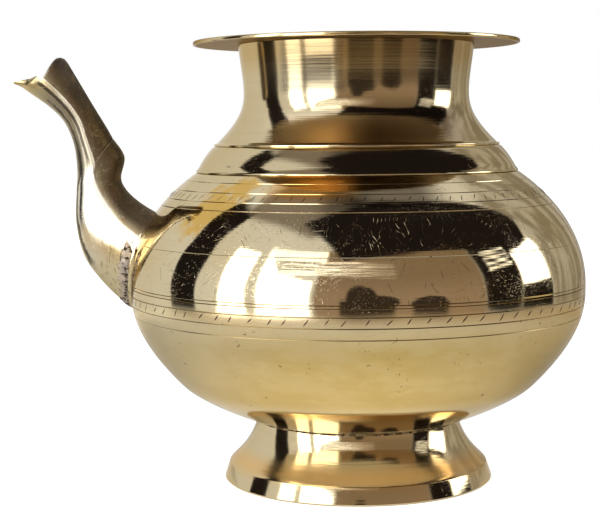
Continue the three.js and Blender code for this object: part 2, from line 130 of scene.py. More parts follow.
# Chiselled strokes of the frieze: angle round the pot, height, lean, length and relative width,
# in degrees and millimetres.
STROKES = [
    (-51, 108.6, -34, 1.8, 1), (-51, 104.7, 21, 3.2, 1), (-46, 105.0, -10, 3.1, 1.5),
    (-42, 106.8, 2, 2.0, 1), (-52, 99.4, 43, 2.6, 1.5), (-54, 94.4, -71, 6.2, 0.7),
    (-52, 91.6, -50, 5.9, 0.7), (-56, 86.9, 27, 5.1, 0.8), (-62, 94.3, -66, 3.3, 0.6),
    (-39, 104.1, -50, 4.5, 1.6), (-38, 100.5, -73, 5.6, 1.3), (-45, 98.4, 41, 2.8, 1),
    (-43, 97.0, 49, 3.1, 0.9), (-46, 100.3, 90, 3.6, 0.9), (-41, 97.0, 1, 1.9, 0.8),
    (-49, 87.2, -4, 2.6, 0.7), (-46, 84.7, 38, 2.5, 0.7), (-45, 89.4, 52, 3.1, 0.7),
    (-45, 87.1, 69, 3.6, 0.7), (-45, 88.4, 3, 5.2, 0.6), (-38, 97.1, -74, 4.1, 1),
    (-32, 105.4, -0, 3.5, 1.4), (-26, 105.5, 51, 6.7, 1.3), (-30, 99.0, 37, 4.6, 1.5),
    (-30, 101.2, 40, 2.8, 1), (-30, 101.4, 42, 2.9, 1), (-29, 101.8, 42, 2.6, 1),
    (-29, 106.2, -50, 2.7, 0.8), (-29, 105.6, -52, 2.9, 0.8), (-28, 105.0, -53, 3.0, 0.8),
    (-28, 104.4, -54, 2.7, 0.8), (-27, 104.1, -54, 2.0, 0.8), (-21, 104.0, 25, 3.4, 1.5),
    (-16, 103.9, -5, 4.3, 1.5), (-15, 106.6, -29, 2.7, 1.2), (-20, 107.7, 24, 2.5, 1),
    (-19, 107.6, 25, 2.4, 1), (-18, 107.8, 24, 2.3, 1), (-17, 108.2, 20, 1.9, 1), (-16, 108.5, 19, 1.9, 1),
    (-13, 105.5, -14, 5.1, 0.9), (-27, 100.7, -18, 2.0, 1), (-26, 101.7, -83, 2.7, 0.9),
    (-24, 101.6, 80, 3.5, 0.7), (-19, 100.0, 60, 4.7, 1), (-15, 103.0, 59, 4.2, 0.9),
    (-12, 101.9, 82, 3.6, 0.8), (-31, 92.7, -42, 2.2, 1.3), (-30, 96.0, 34, 2.8, 0.9),
    (-31, 91.0, -14, 2.1, 0.6), (-30, 90.5, -15, 2.1, 0.6), (-29, 90.9, -18, 1.9, 0.6),
    (-31, 81.6, -48, 7.0, 0.6), (-31, 85.8, 1, 3.5, 0.6), (-23, 82.4, -67, 6.9, 0.7),
    (-23, 87.0, -51, 1.6, 0.8), (-18, 86.3, -51, 1.6, 0.7), (-15, 84.9, -71, 3.2, 0.6),
    (-36, 82.6, -3, 2.3, 1.1), (-26, 85.9, -45, 2.9, 1), (-6, 94.7, 40, 4.3, 1.2),
    (-12, 92.9, -57, 2.9, 0.8), (-14, 93.6, 28, 2.3, 1), (-9, 99.3, -48, 3.2, 1), (-11, 98.4, -32, 2.5, 1),
    (-39, 85.3, -52, 3.1, 1), (-39, 88.1, -52, 2.7, 0.7), (-37, 88.0, 27, 2.2, 0.7),
    (-41, 80.3, 58, 3.0, 0.6), (-40, 82.0, 53, 2.3, 0.6), (10, 104.9, 13, 5.6, 1.5),
    (8, 100.7, 39, 4.6, 1.6), (20, 107.4, 7, 2.7, 1.2), (19, 103.9, -21, 3.9, 1.1),
    (22, 103.8, -49, 5.0, 0.9), (14, 104.5, -5, 4.9, 0.8), (-5, 103.1, -43, 6.0, 1), (3, 97.4, 9, 4.8, 1.3),
    (-6, 94.7, 42, 4.5, 1.2), (2, 107.8, -8, 2.5, 0.8), (3, 107.6, -9, 2.4, 0.8), (4, 107.7, -10, 2.2, 0.8),
    (5, 107.7, -11, 2.1, 0.8), (6, 107.8, -9, 1.9, 0.8), (7, 107.9, -13, 2.0, 0.8),
    (8, 108.0, -12, 2.0, 0.8), (30, 107.5, -33, 3.6, 1), (31, 106.2, -58, 2.1, 1), (32, 105.4, -57, 2.2, 1),
    (33, 104.5, -55, 2.2, 1), (34, 103.6, -55, 1.9, 1), (34, 102.7, -58, 1.6, 0.9), (39, 103.0, 9, 3.1, 0.9),
    (45, 104.4, -13, 4.3, 1.3), (41, 107.3, 10, 2.9, 0.8), (42, 107.3, 10, 3.1, 0.8),
    (8, 90.9, -25, 6.2, 0.9), (17, 89.2, 15, 3.6, 1.6), (23, 91.5, 42, 5.0, 1.4), (13, 85.6, -11, 3.0, 1.3),
    (15, 84.3, 32, 4.1, 1.7), (5, 85.1, 24, 4.6, 1.6), (24, 85.8, -18, 2.2, 1.2), (21, 83.5, -74, 5.3, 0.7),
    (23, 80.2, 25, 2.5, 1.5), (27, 81.6, -44, 3.6, 1.7), (19, 80.8, 5, 1.9, 0.9), (20, 80.7, 5, 2.4, 0.9),
    (21, 80.7, 3, 2.6, 0.9), (21, 80.7, 3, 2.6, 0.9), (22, 81.0, 4, 2.3, 0.9), (9, 80.0, 4, 2.9, 1.5),
    (6, 94.5, -75, 3.9, 1.3), (15, 95.4, -67, 1.5, 1.2), (12, 97.2, 9, 1.9, 0.9), (18, 97.2, -46, 1.1, 1),
    (25, 98.5, -80, 3.7, 1.4), (22, 100.3, -63, 4.0, 1.3), (-3, 87.9, -3, 1.9, 0.9), (-2, 87.6, 8, 1.7, 0.9),
    (-1, 87.3, -7, 1.3, 0.9), (0, 86.7, -5, 1.5, 0.9), (-5, 79.4, -43, 1.2, 1), (-4, 79.4, -42, 1.2, 1),
    (-3, 79.4, -45, 1.1, 1), (-2, 79.4, -45, 1.1, 1), (-1, 79.4, -44, 1.2, 1), (1, 79.9, 47, 2.5, 1),
    (2, 82.1, -38, 2.4, 0.9), (29, 86.4, 41, 2.8, 0.9), (31, 83.8, 35, 3.8, 0.7), (32, 87.5, -25, 3.5, 0.8),
    (33, 87.5, 14, 3.2, 0.8), (7, 79.8, -35, 1.8, 0.8), (-1, 92.9, -59, 2.9, 0.7), (1, 99.0, 13, 3.8, 0.8),
    (-1, 104.9, 59, 2.3, 0.6), (2, 101.8, 34, 3.3, 0.7), (-2, 106.1, 63, 3.9, 0.7),
]


def setting(kind, **fixed):
    """A shorter way to write a property of one kind."""
    return lambda name, value, about: kind(name=name, default=value, description=about, **fixed)


length_prop = setting(FloatProperty, unit="LENGTH")
angle_prop = setting(FloatProperty, subtype="ANGLE")
number_prop = setting(FloatProperty)
count_prop = setting(IntProperty, min=3)
colour_prop = setting(FloatVectorProperty, subtype="COLOR")
place_prop = setting(FloatVectorProperty, subtype="XYZ")


class PotSizes(bpy.types.PropertyGroup):
    turns: count_prop("Turns", 288, "Sides of each turned piece")
    foot_height: length_prop("Foot height", 0.0242, "Ground to the braze")
    foot_base: length_prop("Foot base radius", 0.0536, "Radius on the ground")
    foot_edge: length_prop("Foot edge radius", 0.0516, "Radius of the sharp edge")
    foot_band: length_prop("Foot band", 0.0065, "Height of the bevelled band")
    foot_neck: length_prop("Foot neck radius", 0.0404, "Radius at the braze")
    bowl_height: length_prop("Bowl height", 0.0538, "Braze to the widest line")
    bend_radius: length_prop("Bend radius", 0.0707, "Radius at which the bowl turns up")
    bend_rise: length_prop("Bend rise", 0.0152, "Height of that bend over the braze")
    bottom_sag: length_prop("Bottom sag", 0.0061, "How far the bottom hangs in the foot")
    belly_radius: length_prop("Belly radius", 0.09, "Radius at the widest line")
    shoulder_height: length_prop("Shoulder height", 0.0444, "Widest line to the collar")
    collar_radius: length_prop("Collar radius", 0.0635, "Radius of the collar's lip")
    collar_height: length_prop("Collar height", 0.0106, "Lip to the turned step")
    step_radius: length_prop("Step radius", 0.0562, "Radius of the turned step")
    neck_height: length_prop("Neck height", 0.0382, "Step to the rim")
    neck_top: length_prop("Neck top radius", 0.0465, "Radius under the rim")
    rim_radius: length_prop("Rim radius", 0.0642, "Radius of the rim's edge")
    rim_thickness: length_prop("Rim thickness", 0.0015, "Thickness of the rim")
    wall: length_prop("Wall", 0.002, "Thickness of the turned shells")
    spout_wall: length_prop("Spout wall", 0.0015, "Thickness of the spout's sheet")
    ledge: length_prop("Spout ledge", 0.00045, "Trough edge left bare beside the covers")
    line_width: length_prop("Line width", 0.00042, "Width of an engraved line")
    line_depth: length_prop("Line depth", 0.00022, "Depth of an engraved line")
    upper_cuts: count_prop("Upper cuts", 88, "Cuts in the shoulder's border")
    lower_cuts: count_prop("Lower cuts", 80, "Cuts in the bowl's border")


class PotFinish(bpy.types.PropertyGroup):
    pale: colour_prop("Pale brass", (0.61, 0.52, 0.345), "Polished brass")
    turned: colour_prop("Turned brass", (0.57, 0.475, 0.295), "Neck, rim and foot")
    silvery: colour_prop("Rubbed brass", (0.76, 0.71, 0.6), "The spout, rubbed pale")
    orange: colour_prop("Heat stain", (0.6, 0.375, 0.085), "Stain beside the spout")
    gold: colour_prop("Gold brass", (0.56, 0.4, 0.135), "Warmer brass")
    brown: colour_prop("Brown brass", (0.4, 0.31, 0.15), "Handled, browned brass")
    dull: colour_prop("Dull brass", (0.19, 0.155, 0.11), "Brushed, tarnished sheet")
    solder: colour_prop("Solder", (0.4, 0.345, 0.3), "Rough solder")
    patina: colour_prop("Patina", (0.05, 0.032, 0.018), "Dirt held in cuts")
    polish: number_prop("Polish", 0.035, "Roughness of the polished shell")


class StudioSettings(bpy.types.PropertyGroup):
    lens: number_prop("Lens", 88.8, "Focal length in millimetres")
    camera_place: place_prop("Camera place", (-0.00011, -0.58935, 0.13974), "Where it stands")
    camera_pitch: angle_prop("Camera pitch", math.radians(5.19), "How far it looks down")
    camera_roll: angle_prop("Camera roll", -0.00857, "How far it leans")
    window_strength: number_prop("Window strength", 5.5, "Brightness of the mirrored window")
    lamp_power: number_prop("Lamp power", 30, "Watts of the key lamp")
    table_radius: length_prop("Table radius", 0.44, "How much of the floor the metal mirrors")
    table_glow: number_prop("Table glow", 0.3, "Brightness added to the mirrored floor")
    room_light: number_prop("Room light", 0.55, "Strength of the plain surroundings")
    floor_colour: colour_prop("Floor colour", (0.8, 0.8, 0.79), "The plain floor")


def operation(kind, swapped=False):
    """A method of Field that adds one Math node."""

    def method(self, other=0.0):
        values = (other, self) if swapped else (self, other)
        return self.nodes.add("ShaderNodeMath", {"operation": kind}, dict(enumerate(values)))

    return method


class Field:
    """A socket's value; arithmetic on it adds Math nodes to its tree."""

    __add__, __radd__ = operation("ADD"), operation("ADD", True)
    __sub__, __rsub__ = operation("SUBTRACT"), operation("SUBTRACT", True)
    __mul__, __rmul__ = operation("MULTIPLY"), operation("MULTIPLY", True)
    __truediv__, __rtruediv__ = operation("DIVIDE"), operation("DIVIDE", True)
    __pow__, __gt__, __lt__ = operation("POWER"), operation("GREATER_THAN"), operation("LESS_THAN")
    most, least, arctan = operation("MAXIMUM"), operation("MINIMUM"), operation("ARCTAN2")
    sine, cosine, tangent = operation("SINE"), operation("COSINE"), operation("TANGENT")

    def __init__(self, nodes, socket):
        self.nodes = nodes
        self.socket = socket

    def step(self, low, high, start=0.0, end=1.0):
        """A soft step of the value from low to high."""
        settings = {"interpolation_type": "SMOOTHSTEP"}
        return self.nodes.add("ShaderNodeMapRange", settings, {0: self, 1: low, 2: high, 3: start, 4: end})

    def fall(self, low, high):
        """1 up to low and 0 from high."""
        return self.step(low, high, 1.0, 0.0)

    def band(self, low, high, soft):
        """1 between low and high, with soft edges."""
        return self.step(low - soft, low + soft) * self.fall(high - soft, high + soft)

    def degrees_over(self, other):
        """The direction of a point, from its two coordinates."""
        return self.arctan(other) * (180 / math.pi)

    def output(self, name):
        return Field(self.nodes, self.socket.node.outputs[name])


class Nodes:
    """Adds nodes to an empty tree, each with its settings first and then its inputs' values or links."""

    def __init__(self, tree):
        self.tree = tree
        tree.nodes.clear()

    def add(self, kind, settings=None, values=None, output=0):
        node = self.tree.nodes.new(kind)
        for key, value in (settings or {}).items():
            setattr(node, key, value)
        for key, value in (values or {}).items():
            socket = node.inputs[key]
            if isinstance(value, Field):
                self.tree.links.new(value.socket, socket)
            elif socket.type == "RGBA" and len(value) == 3:
                socket.default_value = (*value, 1)
            else:
                socket.default_value = value
        return Field(self, node.outputs[output])

    def end(self, kind, field):
        """The node that ends the tree."""
        end = self.tree.nodes.new(kind)
        self.tree.links.new(field.socket, end.inputs[0])

    def mix(self, share, below, above):
        return self.add("ShaderNodeMix", {"data_type": "RGBA"}, {0: share, 6: below, 7: above}, 2)

    def layered(self, colour, coats):
        """The colour under one coat after the other, each a share and a colour."""
        for share, coat in coats:
            colour = self.mix(share, colour, coat)
        return colour

    def place(self, x, y, z):
        return self.add("ShaderNodeCombineXYZ", None, {0: x, 1: y, 2: z})

    def turn(self, vector, axis, angle):
        settings = {"rotation_type": "AXIS_ANGLE"}
        return self.add("ShaderNodeVectorRotate", settings, {"Vector": vector, "Axis": axis, "Angle": angle})

    def stretch(self, vector, factors):
        return self.add("ShaderNodeVectorMath", {"operation": "MULTIPLY"}, {0: vector, 1: factors})

    def cloud(self, vector, scale=1.0, detail=2.0, rough=0.5):
        values = {"Vector": vector, "Scale": scale, "Detail": detail, "Roughness": rough}
        return self.add("ShaderNodeTexNoise", None, values)

    def attribute(self, name):
        return self.add("ShaderNodeAttribute", {"attribute_name": name}, None, "Fac")

    def around(self):
        """The place from the pot's axis, its x, y and z, and the distance from the axis."""
        coords = self.add("ShaderNodeTexCoord", None, None, "Object")
        moved = self.add("ShaderNodeVectorMath", {"operation": "SUBTRACT"}, {0: coords, 1: (AXIS_X, 0, 0)})
        x = self.add("ShaderNodeSeparateXYZ", None, {0: moved}, "X")
        y, z = x.output("Y"), x.output("Z")
        return moved, x, y, z, (x * x + y * y) ** 0.5


def any_of(mask, *others):
    """The greatest of the masks."""
    for other in others:
        mask = mask.most(other)
    return mask


def nodes_of(owner):
    """The empty tree of a new material or world."""
    owner.use_nodes = True
    return Nodes(owner.node_tree)


class Metal:
    """A metal: its nodes, its bumps and its shader, with the place on the pot that its masks read."""

    def __init__(self, name, metallic=1.0, grazing=(0.78, 0.72, 0.6)):
        self.material = bpy.data.materials.new(name)
        self.nodes = nodes_of(self.material)
        self.shader = {"Metallic": metallic, "Specular Tint": grazing}
        self.vector, self.x, self.y, self.z, self.radius = self.nodes.around()

    def cloud(self, scale, detail=2.0, rough=0.5):
        return self.nodes.cloud(self.vector, scale, detail, rough)

    def grain(self, factors, detail, rough, vector=None):
        """A noise stretched along the axes."""
        return self.nodes.cloud(self.nodes.stretch(vector or self.vector, factors), 1.0, detail, rough)

    def hairlines(self, seed, fineness, rarity):
        """Fine straight scratches that run every way, 1 on a scratch."""
        total = None
        for i, angle in enumerate((0.35, 1.25, 2.3)):
            axis = (math.sin(seed + i), math.cos(seed * 2 + i), 0.6)
            turned_coords = self.nodes.turn(self.vector, axis, angle + seed)
            lines = self.grain((60, fineness, fineness * 0.8), 1.0, 0.4, turned_coords)
            patch = self.nodes.cloud(turned_coords, 55.0 + 17 * i, 1.0)
            marks = lines.step(rarity, rarity + 0.05) * patch.step(0.5, 0.62)
            total = marks if total is None else total.most(marks)
        return total

    def bump(self, height, distance):
        """Raises the surface, over the bumps that came before."""
        values = {"Height": height, "Distance": distance, "Strength": 1.0}
        if "Normal" in self.shader:
            values["Normal"] = self.shader["Normal"]
        self.shader["Normal"] = self.nodes.add("ShaderNodeBump", None, values)

    def close(self, colour, roughness):
        """The finished material."""
        values = {**self.shader, "Base Color": colour, "Roughness": roughness}
        self.nodes.end("ShaderNodeOutputMaterial", self.nodes.add("ShaderNodeBsdfPrincipled", None, values))
        return self.material


def brass(name, pale, deep, roughness, seam=(1.0, -1.0), streaks=0.00002, rings=0.0, waves=0.0, marks=0.5,
          pits=0.2, hidden=None, blend=None, coats=None, gloss=None, grazing=(0.78, 0.72, 0.6)):
    """Turned and polished brass. seam says how the turning lines follow height and radius.

    blend, coats and gloss give masks in metres from the pot's axis and the ground, or in shares of the
    spout's arch and reach.
    """
    m = Metal(name, grazing=grazing)
    n = m.nodes
    m.clouds = m.cloud(28.0, 4.0, 0.6)
    f = bpy.context.scene.pot_finish
    along = m.z * seam[0] + m.radius * seam[1]

    def turning(spread, fineness, detail, rough):
        return n.cloud(n.place(m.x * spread, m.y * spread, along * fineness), 1.0, detail, rough)

    fine, broad = turning(14, 2600, 3.0, 0.6), turning(9, 420, 2.0, 0.55)
    scratches, deep_scratches = m.hairlines(0.7, 2600, 0.66), m.hairlines(2.1, 1500, 0.725)
    pit_mask = m.cloud(640.0, 3.0, 0.6).step(0.665, 0.71) * m.cloud(60.0).step(0.5, 0.6)
    groove, inside = n.attribute("groove"), n.attribute("inside")
    tone = n.layered(pale, [
        (blend(m) if blend else m.clouds.step(0.35, 0.7) * 0.6, deep),
        (fine.step(0.55, 0.8) * 0.12 + broad.step(0.55, 0.75) * 0.1, f.brown),
        *(coats(m) if coats else ()),
        ((scratches * 0.25 + deep_scratches * 0.45) * marks, f.brown),
        ((pit_mask * pits).most(groove * 0.6), f.patina),
        # Inner faces take the hidden colour; on the rim, whose inner face is its underside, it is a painted
        # shade.
        (inside * 0.85, hidden or f.brown),
    ])
    rough = roughness + fine * 0.025 + m.clouds.step(0.5, 0.85) * 0.03 + scratches * 0.1 * marks
    rough = rough + (gloss(m) if gloss else 0.0) + groove * 0.15 + inside * 0.22
    if waves:
        m.bump(m.cloud(38.0, 1.0, 0.4), waves)
    m.bump(broad, streaks * 3.0)
    if rings:
        m.bump(turning(16, 1100, 2.0, 0.5), rings)
    m.bump(fine, streaks)
    m.bump(1.0 - (scratches * 0.4 + deep_scratches).least(1.0), 0.00002 * marks)
    m.bump(1.0 - pit_mask, 0.00006 * pits)
    return m.close(tone, rough)


def polished_brass():
    """The shoulder: mirror bright, heat stained by the spout and full of fine scratches."""
    f = bpy.context.scene.pot_finish

    def coats(m):
        azimuth = m.x.degrees_over(0.0 - m.y)
        side, up = azimuth + 45.0, (m.z - 0.1108) * 1100
        along, across = (side + up) * 0.052, (up - side) * 0.085
        ragged = (m.cloud(120.0, 4.0, 0.65) - 0.5) * 3.6
        patch = (along * along + across * across + ragged).fall(0.3, 1.3)
        beside = m.z.step(0.111, 0.1132) * azimuth.band(-6.0, 21.0, 6.0)
        near = m.z.step(0.1125, 0.1162) * azimuth.band(-27.0, -5.0, 6.0)
        return (patch * 0.9, f.orange), (beside * 0.85, (0.07, 0.05, 0.03)), (near * 0.85, (0.78, 0.4, 0.08))

    return brass(
        "polished_brass", f.pale, f.gold, f.polish, streaks=0.000004, rings=0.000011, waves=0.0005, marks=1.0,
        pits=0.4, blend=lambda m: m.clouds.step(0.4, 0.75) * 0.3, coats=coats,
    )


def bowl_brass():
    """The bowl: duller, greyer towards the spout, golden in the middle, browner away from it, and paler near
    the foot, a painted reflection of the floor there.
    """
    f = bpy.context.scene.pot_finish

    def blend(m):
        return (m.x.step(-0.085, -0.02) * m.z.step(0.078, 0.06) * 0.95 + (m.clouds - 0.5) * 0.5).most(0.0)

    def coats(m):
        mottle = m.nodes.cloud(m.nodes.stretch(m.vector, (1.0, 1.0, 2.2)), 46.0, 5.0, 0.65)
        return (
            (mottle.step(0.42, 0.62) * 0.3, (0.67, 0.54, 0.3)),
            (m.x.step(0.0, 0.08) * 0.45 + mottle.step(0.55, 0.35) * 0.12, (0.46, 0.345, 0.19)),
            # Paler near the foot: a painted reflection of the bright floor close to the pot.
            (m.z.step(0.042, 0.033) * 0.85, (0.76, 0.67, 0.5)),
        )

    return brass(
        "bowl_brass", f.pale, f.gold, 0.05, seam=(1.0, 1.0), streaks=0.000005, waves=0.0004, marks=0.35,
        pits=0.95, blend=blend, coats=coats,
        gloss=lambda m: m.z.step(0.033, 0.046) * 0.13 - m.z.step(0.0742, 0.0766) * 0.12,
    )


def turned_brass():
    """The neck: bright, with the fine rings of the lathe, painted reflections on its front (a pale band low
    down, dark patches above) and browner towards the rim.
    """
    f = bpy.context.scene.pot_finish

    def coats(m):
        x, z, front = m.x, m.z, m.y < 0.0
        # The streaked front combs the painted dark reflections with the lathe's streaks.
        lines = m.grain((30, 30, 1500), 3.0, 0.7)
        streaked_front = front * (lines * 0.35 + 0.78).least(1.0)
        # Painted reflections on the neck's front: a pale mirrored glow low down, and dark mirrored patches
        # above it.
        low = z.band(0.1335, 0.1445, 0.003) * x.band(-0.032, 0.038, 0.006) * front
        shade = x.band(-0.002, 0.037, 0.009) * z.band(0.133, 0.1475, 0.0035) * front
        high = x.band(-0.005, 0.029, 0.002) * z.step(0.153, 0.159) * streaked_front
        upper = x.band(-0.0292, -0.0058, 0.0016) * z.step(0.1515, 0.1545) * front * (lines + 0.22).least(1.0)
        middle = x.band(-0.021, -0.0095, 0.002) * z.band(0.1555, 0.1665, 0.002) * streaked_front
        return (
            (low * 0.9, (0.92, 0.76, 0.52)),
            (shade * 0.8, (0.15, 0.1, 0.07)),
            (high * 0.6, (0.08, 0.06, 0.04)),
            (upper * 0.76, (0.06, 0.05, 0.037)),
            (middle * 0.8, (0.015, 0.012, 0.01)),
        )

    return brass(
        "turned_brass", f.turned, (0.5, 0.35, 0.15), 0.06, streaks=0.00001, rings=0.00002, waves=0.0002,
        marks=0.4, pits=0.15, coats=coats, gloss=lambda m: m.z.step(0.148, 0.156) * 0.05,
        blend=lambda m: m.z.step(0.157, 0.169) * 0.85 + m.clouds.step(0.4, 0.75) * 0.15,
    )


def foot_brass():
    """The foot: as bright as the neck, warmer where it spreads to its edge."""
    f = bpy.context.scene.pot_finish
    return brass(
        "foot_brass", f.turned, (0.68, 0.44, 0.18), 0.06, streaks=0.000008, rings=0.000014, waves=0.0002,
        marks=0.4, pits=0.15,
        blend=lambda m: m.z.band(0.0068, 0.012, 0.003) * 0.8 + m.clouds.step(0.4, 0.75) * 0.2,
        gloss=lambda m: m.z.band(0.0068, 0.0135, 0.002) * 0.11,
    )


def rim_brass():
    """The rim: turned brass, its underside painted dark brown as shade under its edge."""
    f = bpy.context.scene.pot_finish
    return brass(
        "rim_brass", f.turned, f.gold, 0.12, seam=(0.2, 1.0), streaks=0.000016, waves=0.0003, marks=0.6,
        # The hidden colour, dark brown on the rim's underside, is a painted shade.
        pits=0.3, hidden=(0.25, 0.18, 0.105), grazing=(0.42, 0.33, 0.22),
    )


def spout_brass():
    """The spout's trough: filed and rubbed pale by hand, with painted dark reflections streaked along its
    neck and painted shade beside the elbow cover.
    """
    f = bpy.context.scene.pot_finish

    def coats(m):
        arch, reach = m.nodes.attribute("arch"), m.nodes.attribute("reach")
        torn = m.grain((500.0, 500.0, 160.0), 3.0, 0.65) - 0.5
        rubbed = m.grain((900.0, 900.0, 90.0), 3.0, 0.6)
        ragged = reach + torn * 0.1
        off = arch + torn * 0.2 - (0.28 + reach.step(0.38, 0.52) * 0.18)
        beside = arch + torn * 0.08 - 0.8
        # The streaks are painted dark reflections running along the trough's neck.
        streak = (0.0055 - off * off).step(-0.004, 0.004) * ragged.band(0.2, 0.76, 0.03)
        streak = streak.most((0.0035 - beside * beside).step(-0.002, 0.002) * ragged.band(0.5, 0.84, 0.03))
        root = reach.step(0.26, 0.14)
        return (
            # Painted shade on the trough beside the elbow cover's edges.
            (arch.step(0.84, 0.97) * reach.band(0.14, 0.42, 0.05) * 0.85, (0.13, 0.11, 0.095)),
            (arch.step(0.5, 0.3) * reach.band(0.2, 0.46, 0.04) * 0.55, (0.4, 0.35, 0.25)),
            (root * 0.85, (0.58, 0.47, 0.26)),
            (root * rubbed.step(0.56, 0.66) * 0.6, (0.2, 0.14, 0.07)),
            (reach.band(0.46, 0.82, 0.05) * arch.step(0.985, 0.94) * 0.88, (0.2, 0.175, 0.125)),
            (reach.step(0.74, 0.84) * arch.step(0.99, 0.96) * 0.9, (0.38, 0.3, 0.14)),
            (reach.step(0.8, 0.84) * arch.step(0.94, 0.985), (0.6, 0.5, 0.32)),
            (streak * 0.9, (0.045, 0.038, 0.03)),
        )

    return brass(
        "spout_brass", f.silvery, (0.68, 0.61, 0.46), 0.14, seam=(0.35, 0.35), streaks=0.000008, waves=0.0008,
        marks=0.9, pits=0.4, hidden=(0.5, 0.42, 0.26), coats=coats,
        gloss=lambda m: m.nodes.attribute("reach").band(0.46, 0.9, 0.05) * 0.14,
    )


def dull_brass():
    """The covers: brushed sheet that has gone olive and brown."""
    m = Metal("dull_brass")
    n = m.nodes
    f = bpy.context.scene.pot_finish
    along = n.turn(m.vector, (0, 1, 0), math.radians(-28))
    brushed = m.grain((1900, 1300, 60), 3.0, 0.65, along)
    wide = m.grain((420, 300, 26), 2.0, 0.5, along)
    blotch = m.cloud(95.0, 4.0, 0.6)
    scuffs = m.hairlines(1.3, 1300, 0.66)
    edge, arch = n.attribute("edge"), n.attribute("arch")
    tone = n.layered(f.dull, [
        (blotch.step(0.35, 0.7), (0.26, 0.2, 0.13)),
        (arch.step(0.35, 0.9) * 0.6, (0.3, 0.25, 0.15)),
        (arch.step(0.65, 0.2) * 0.75, (0.075, 0.062, 0.05)),
        (wide.step(0.5, 0.72) * 0.6, (0.3, 0.2, 0.12)),
        (brushed.step(0.56, 0.76) * 0.5, (0.5, 0.43, 0.32)),
        (brushed.fall(0.22, 0.42) * 0.6, f.patina),
        # Painted highlight: the covers' edges take the pale colour and less roughness.
        (edge * 0.9, f.silvery),
        (scuffs * (arch.step(0.3, 0.8) * 0.5 + 0.2), (0.62, 0.55, 0.42)),
    ])
    m.bump(wide, 0.00008)
    m.bump(brushed, 0.00003)
    return m.close(tone, 0.34 + brushed * 0.16 + blotch.step(0.4, 0.8) * 0.1 - edge * 0.15)


def rough_solder(name, base, dark_share):
    """Solder and braze: grey, pitted, with dirt in the hollows."""
    m = Metal(name, metallic=0.85)
    f = bpy.context.scene.pot_finish
    lumps = m.cloud(700.0, 3.0, 0.6)
    dirt = m.cloud(520.0, 3.0, 0.65)
    tone = m.nodes.layered(base, [
        (m.cloud(120.0).step(0.4, 0.7) * 0.35, f.gold),
        (dirt.fall(dark_share, dark_share + 0.12), f.patina),
    ])
    m.bump(lumps, 0.0004)
    m.bump(m.cloud(2600.0), 0.0001)
    return m.close(tone, 0.4 + lumps * 0.3)


def cut_brass(name, dirt, rubbed=0.0):
    """A chiselled cut: bare metal with dirt in its hollows, and from 93 to 100 mm up painted lighter by the
    rubbed share, a painted highlight.
    """
    m = Metal(name)
    f = bpy.context.scene.pot_finish
    grime = m.cloud(160.0)
    # Real dirt from the grime cloud, plus a painted highlight that lightens the cuts from 93 to 100 mm and
    # above.
    bare_and_sheen = grime + m.z.step(0.093, 0.1) * rubbed
    m.bump(m.cloud(1500.0), 0.00004)
    return m.close(m.nodes.mix(bare_and_sheen.step(dirt - 0.1, dirt + 0.12), f.patina, f.turned), 0.22 + grime * 0.2)


def bezier(controls, steps):
    """Points along a Bezier curve, from its control points."""
    last = len(controls) - 1
    points = []
    for i in range(steps + 1):
        t = i / steps
        weights = [math.comb(last, k) * t ** k * (1 - t) ** (last - k) for k in range(last + 1)]
        points.append(tuple(sum(w * p[axis] for w, p in zip(weights, controls)) for axis in (0, 1)))
    return points


def off(point, across, up):
    """The point moved outwards and up by so many millimetres."""
    return point[0] + across * MM, point[1] + up * MM


def levels(sizes):
    """Heights of the joints, from the ground."""
    foot = sizes.foot_height
    belly = foot + sizes.bowl_height
    collar = belly + sizes.shoulder_height
    step = collar + sizes.collar_height
    neck = step + STEP_RISE
    rim = neck + sizes.neck_height
    return {"foot": foot, "belly": belly, "collar": collar, "step": step, "neck": neck, "rim": rim}


def shoulder_line(sizes, steps=110):
    crown = 62 * MM
    depth = sizes.belly_radius - sizes.collar_radius
    reach = depth / (1 - math.sqrt(1 - (sizes.shoulder_height / crown) ** 2))
    end = math.asin(sizes.shoulder_height / crown)
    low = levels(sizes)["belly"]
    angles = [end * i / steps for i in range(steps + 1)]
    return [(sizes.belly_radius - reach + reach * math.cos(a), low + crown * math.sin(a)) for a in angles]


def bowl_line(sizes, steps=60):
    at = levels(sizes)
    braze, widest = (sizes.foot_neck, at["foot"]), (sizes.belly_radius, at["belly"])
    bend = (sizes.bend_radius, at["foot"] + sizes.bend_rise)
    c, s = math.cos(BEND_SLOPE), math.sin(BEND_SLOPE)
    reach = (sizes.belly_radius - bend[0]) / c
    cone = bezier([braze, off(braze, 6.3, 1.9), off(bend, -c * 8.6, -s * 8.6), bend], steps // 2)
    side = bezier([bend, (bend[0] + c * reach, bend[1] + s * reach), off(widest, 0, -8.1), widest], steps)
    return [*cone, *side[1:]]


def neck_line(sizes, steps=70):
    at = levels(sizes)
    low, high = (NECK_FOOT, at["neck"]), (sizes.neck_top, at["rim"])
    return bezier([low, off(low, -14, 14), off(high, -2.5, -20.7), high], steps)


def collar_line(sizes, steps=12):
    at = levels(sizes)
    low, high = (sizes.collar_radius, at["collar"]), (sizes.step_radius, at["step"])
    dx, dz = high[0] - low[0], high[1] - low[1]
    length = math.hypot(dx, dz)
    middle = off(((low[0] + high[0]) / 2, (low[1] + high[1]) / 2), dz / length * 1.2, -dx / length * 1.2)
    return bezier([low, middle, high], steps)


def foot_line(sizes, steps=46):
    edge, braze = (sizes.foot_edge, sizes.foot_band), (sizes.foot_neck, sizes.foot_height)
    return bezier([edge, off(edge, -0.3, 1.1), off(braze, 2, -10.6), off(braze, 0, -0.1)], steps)


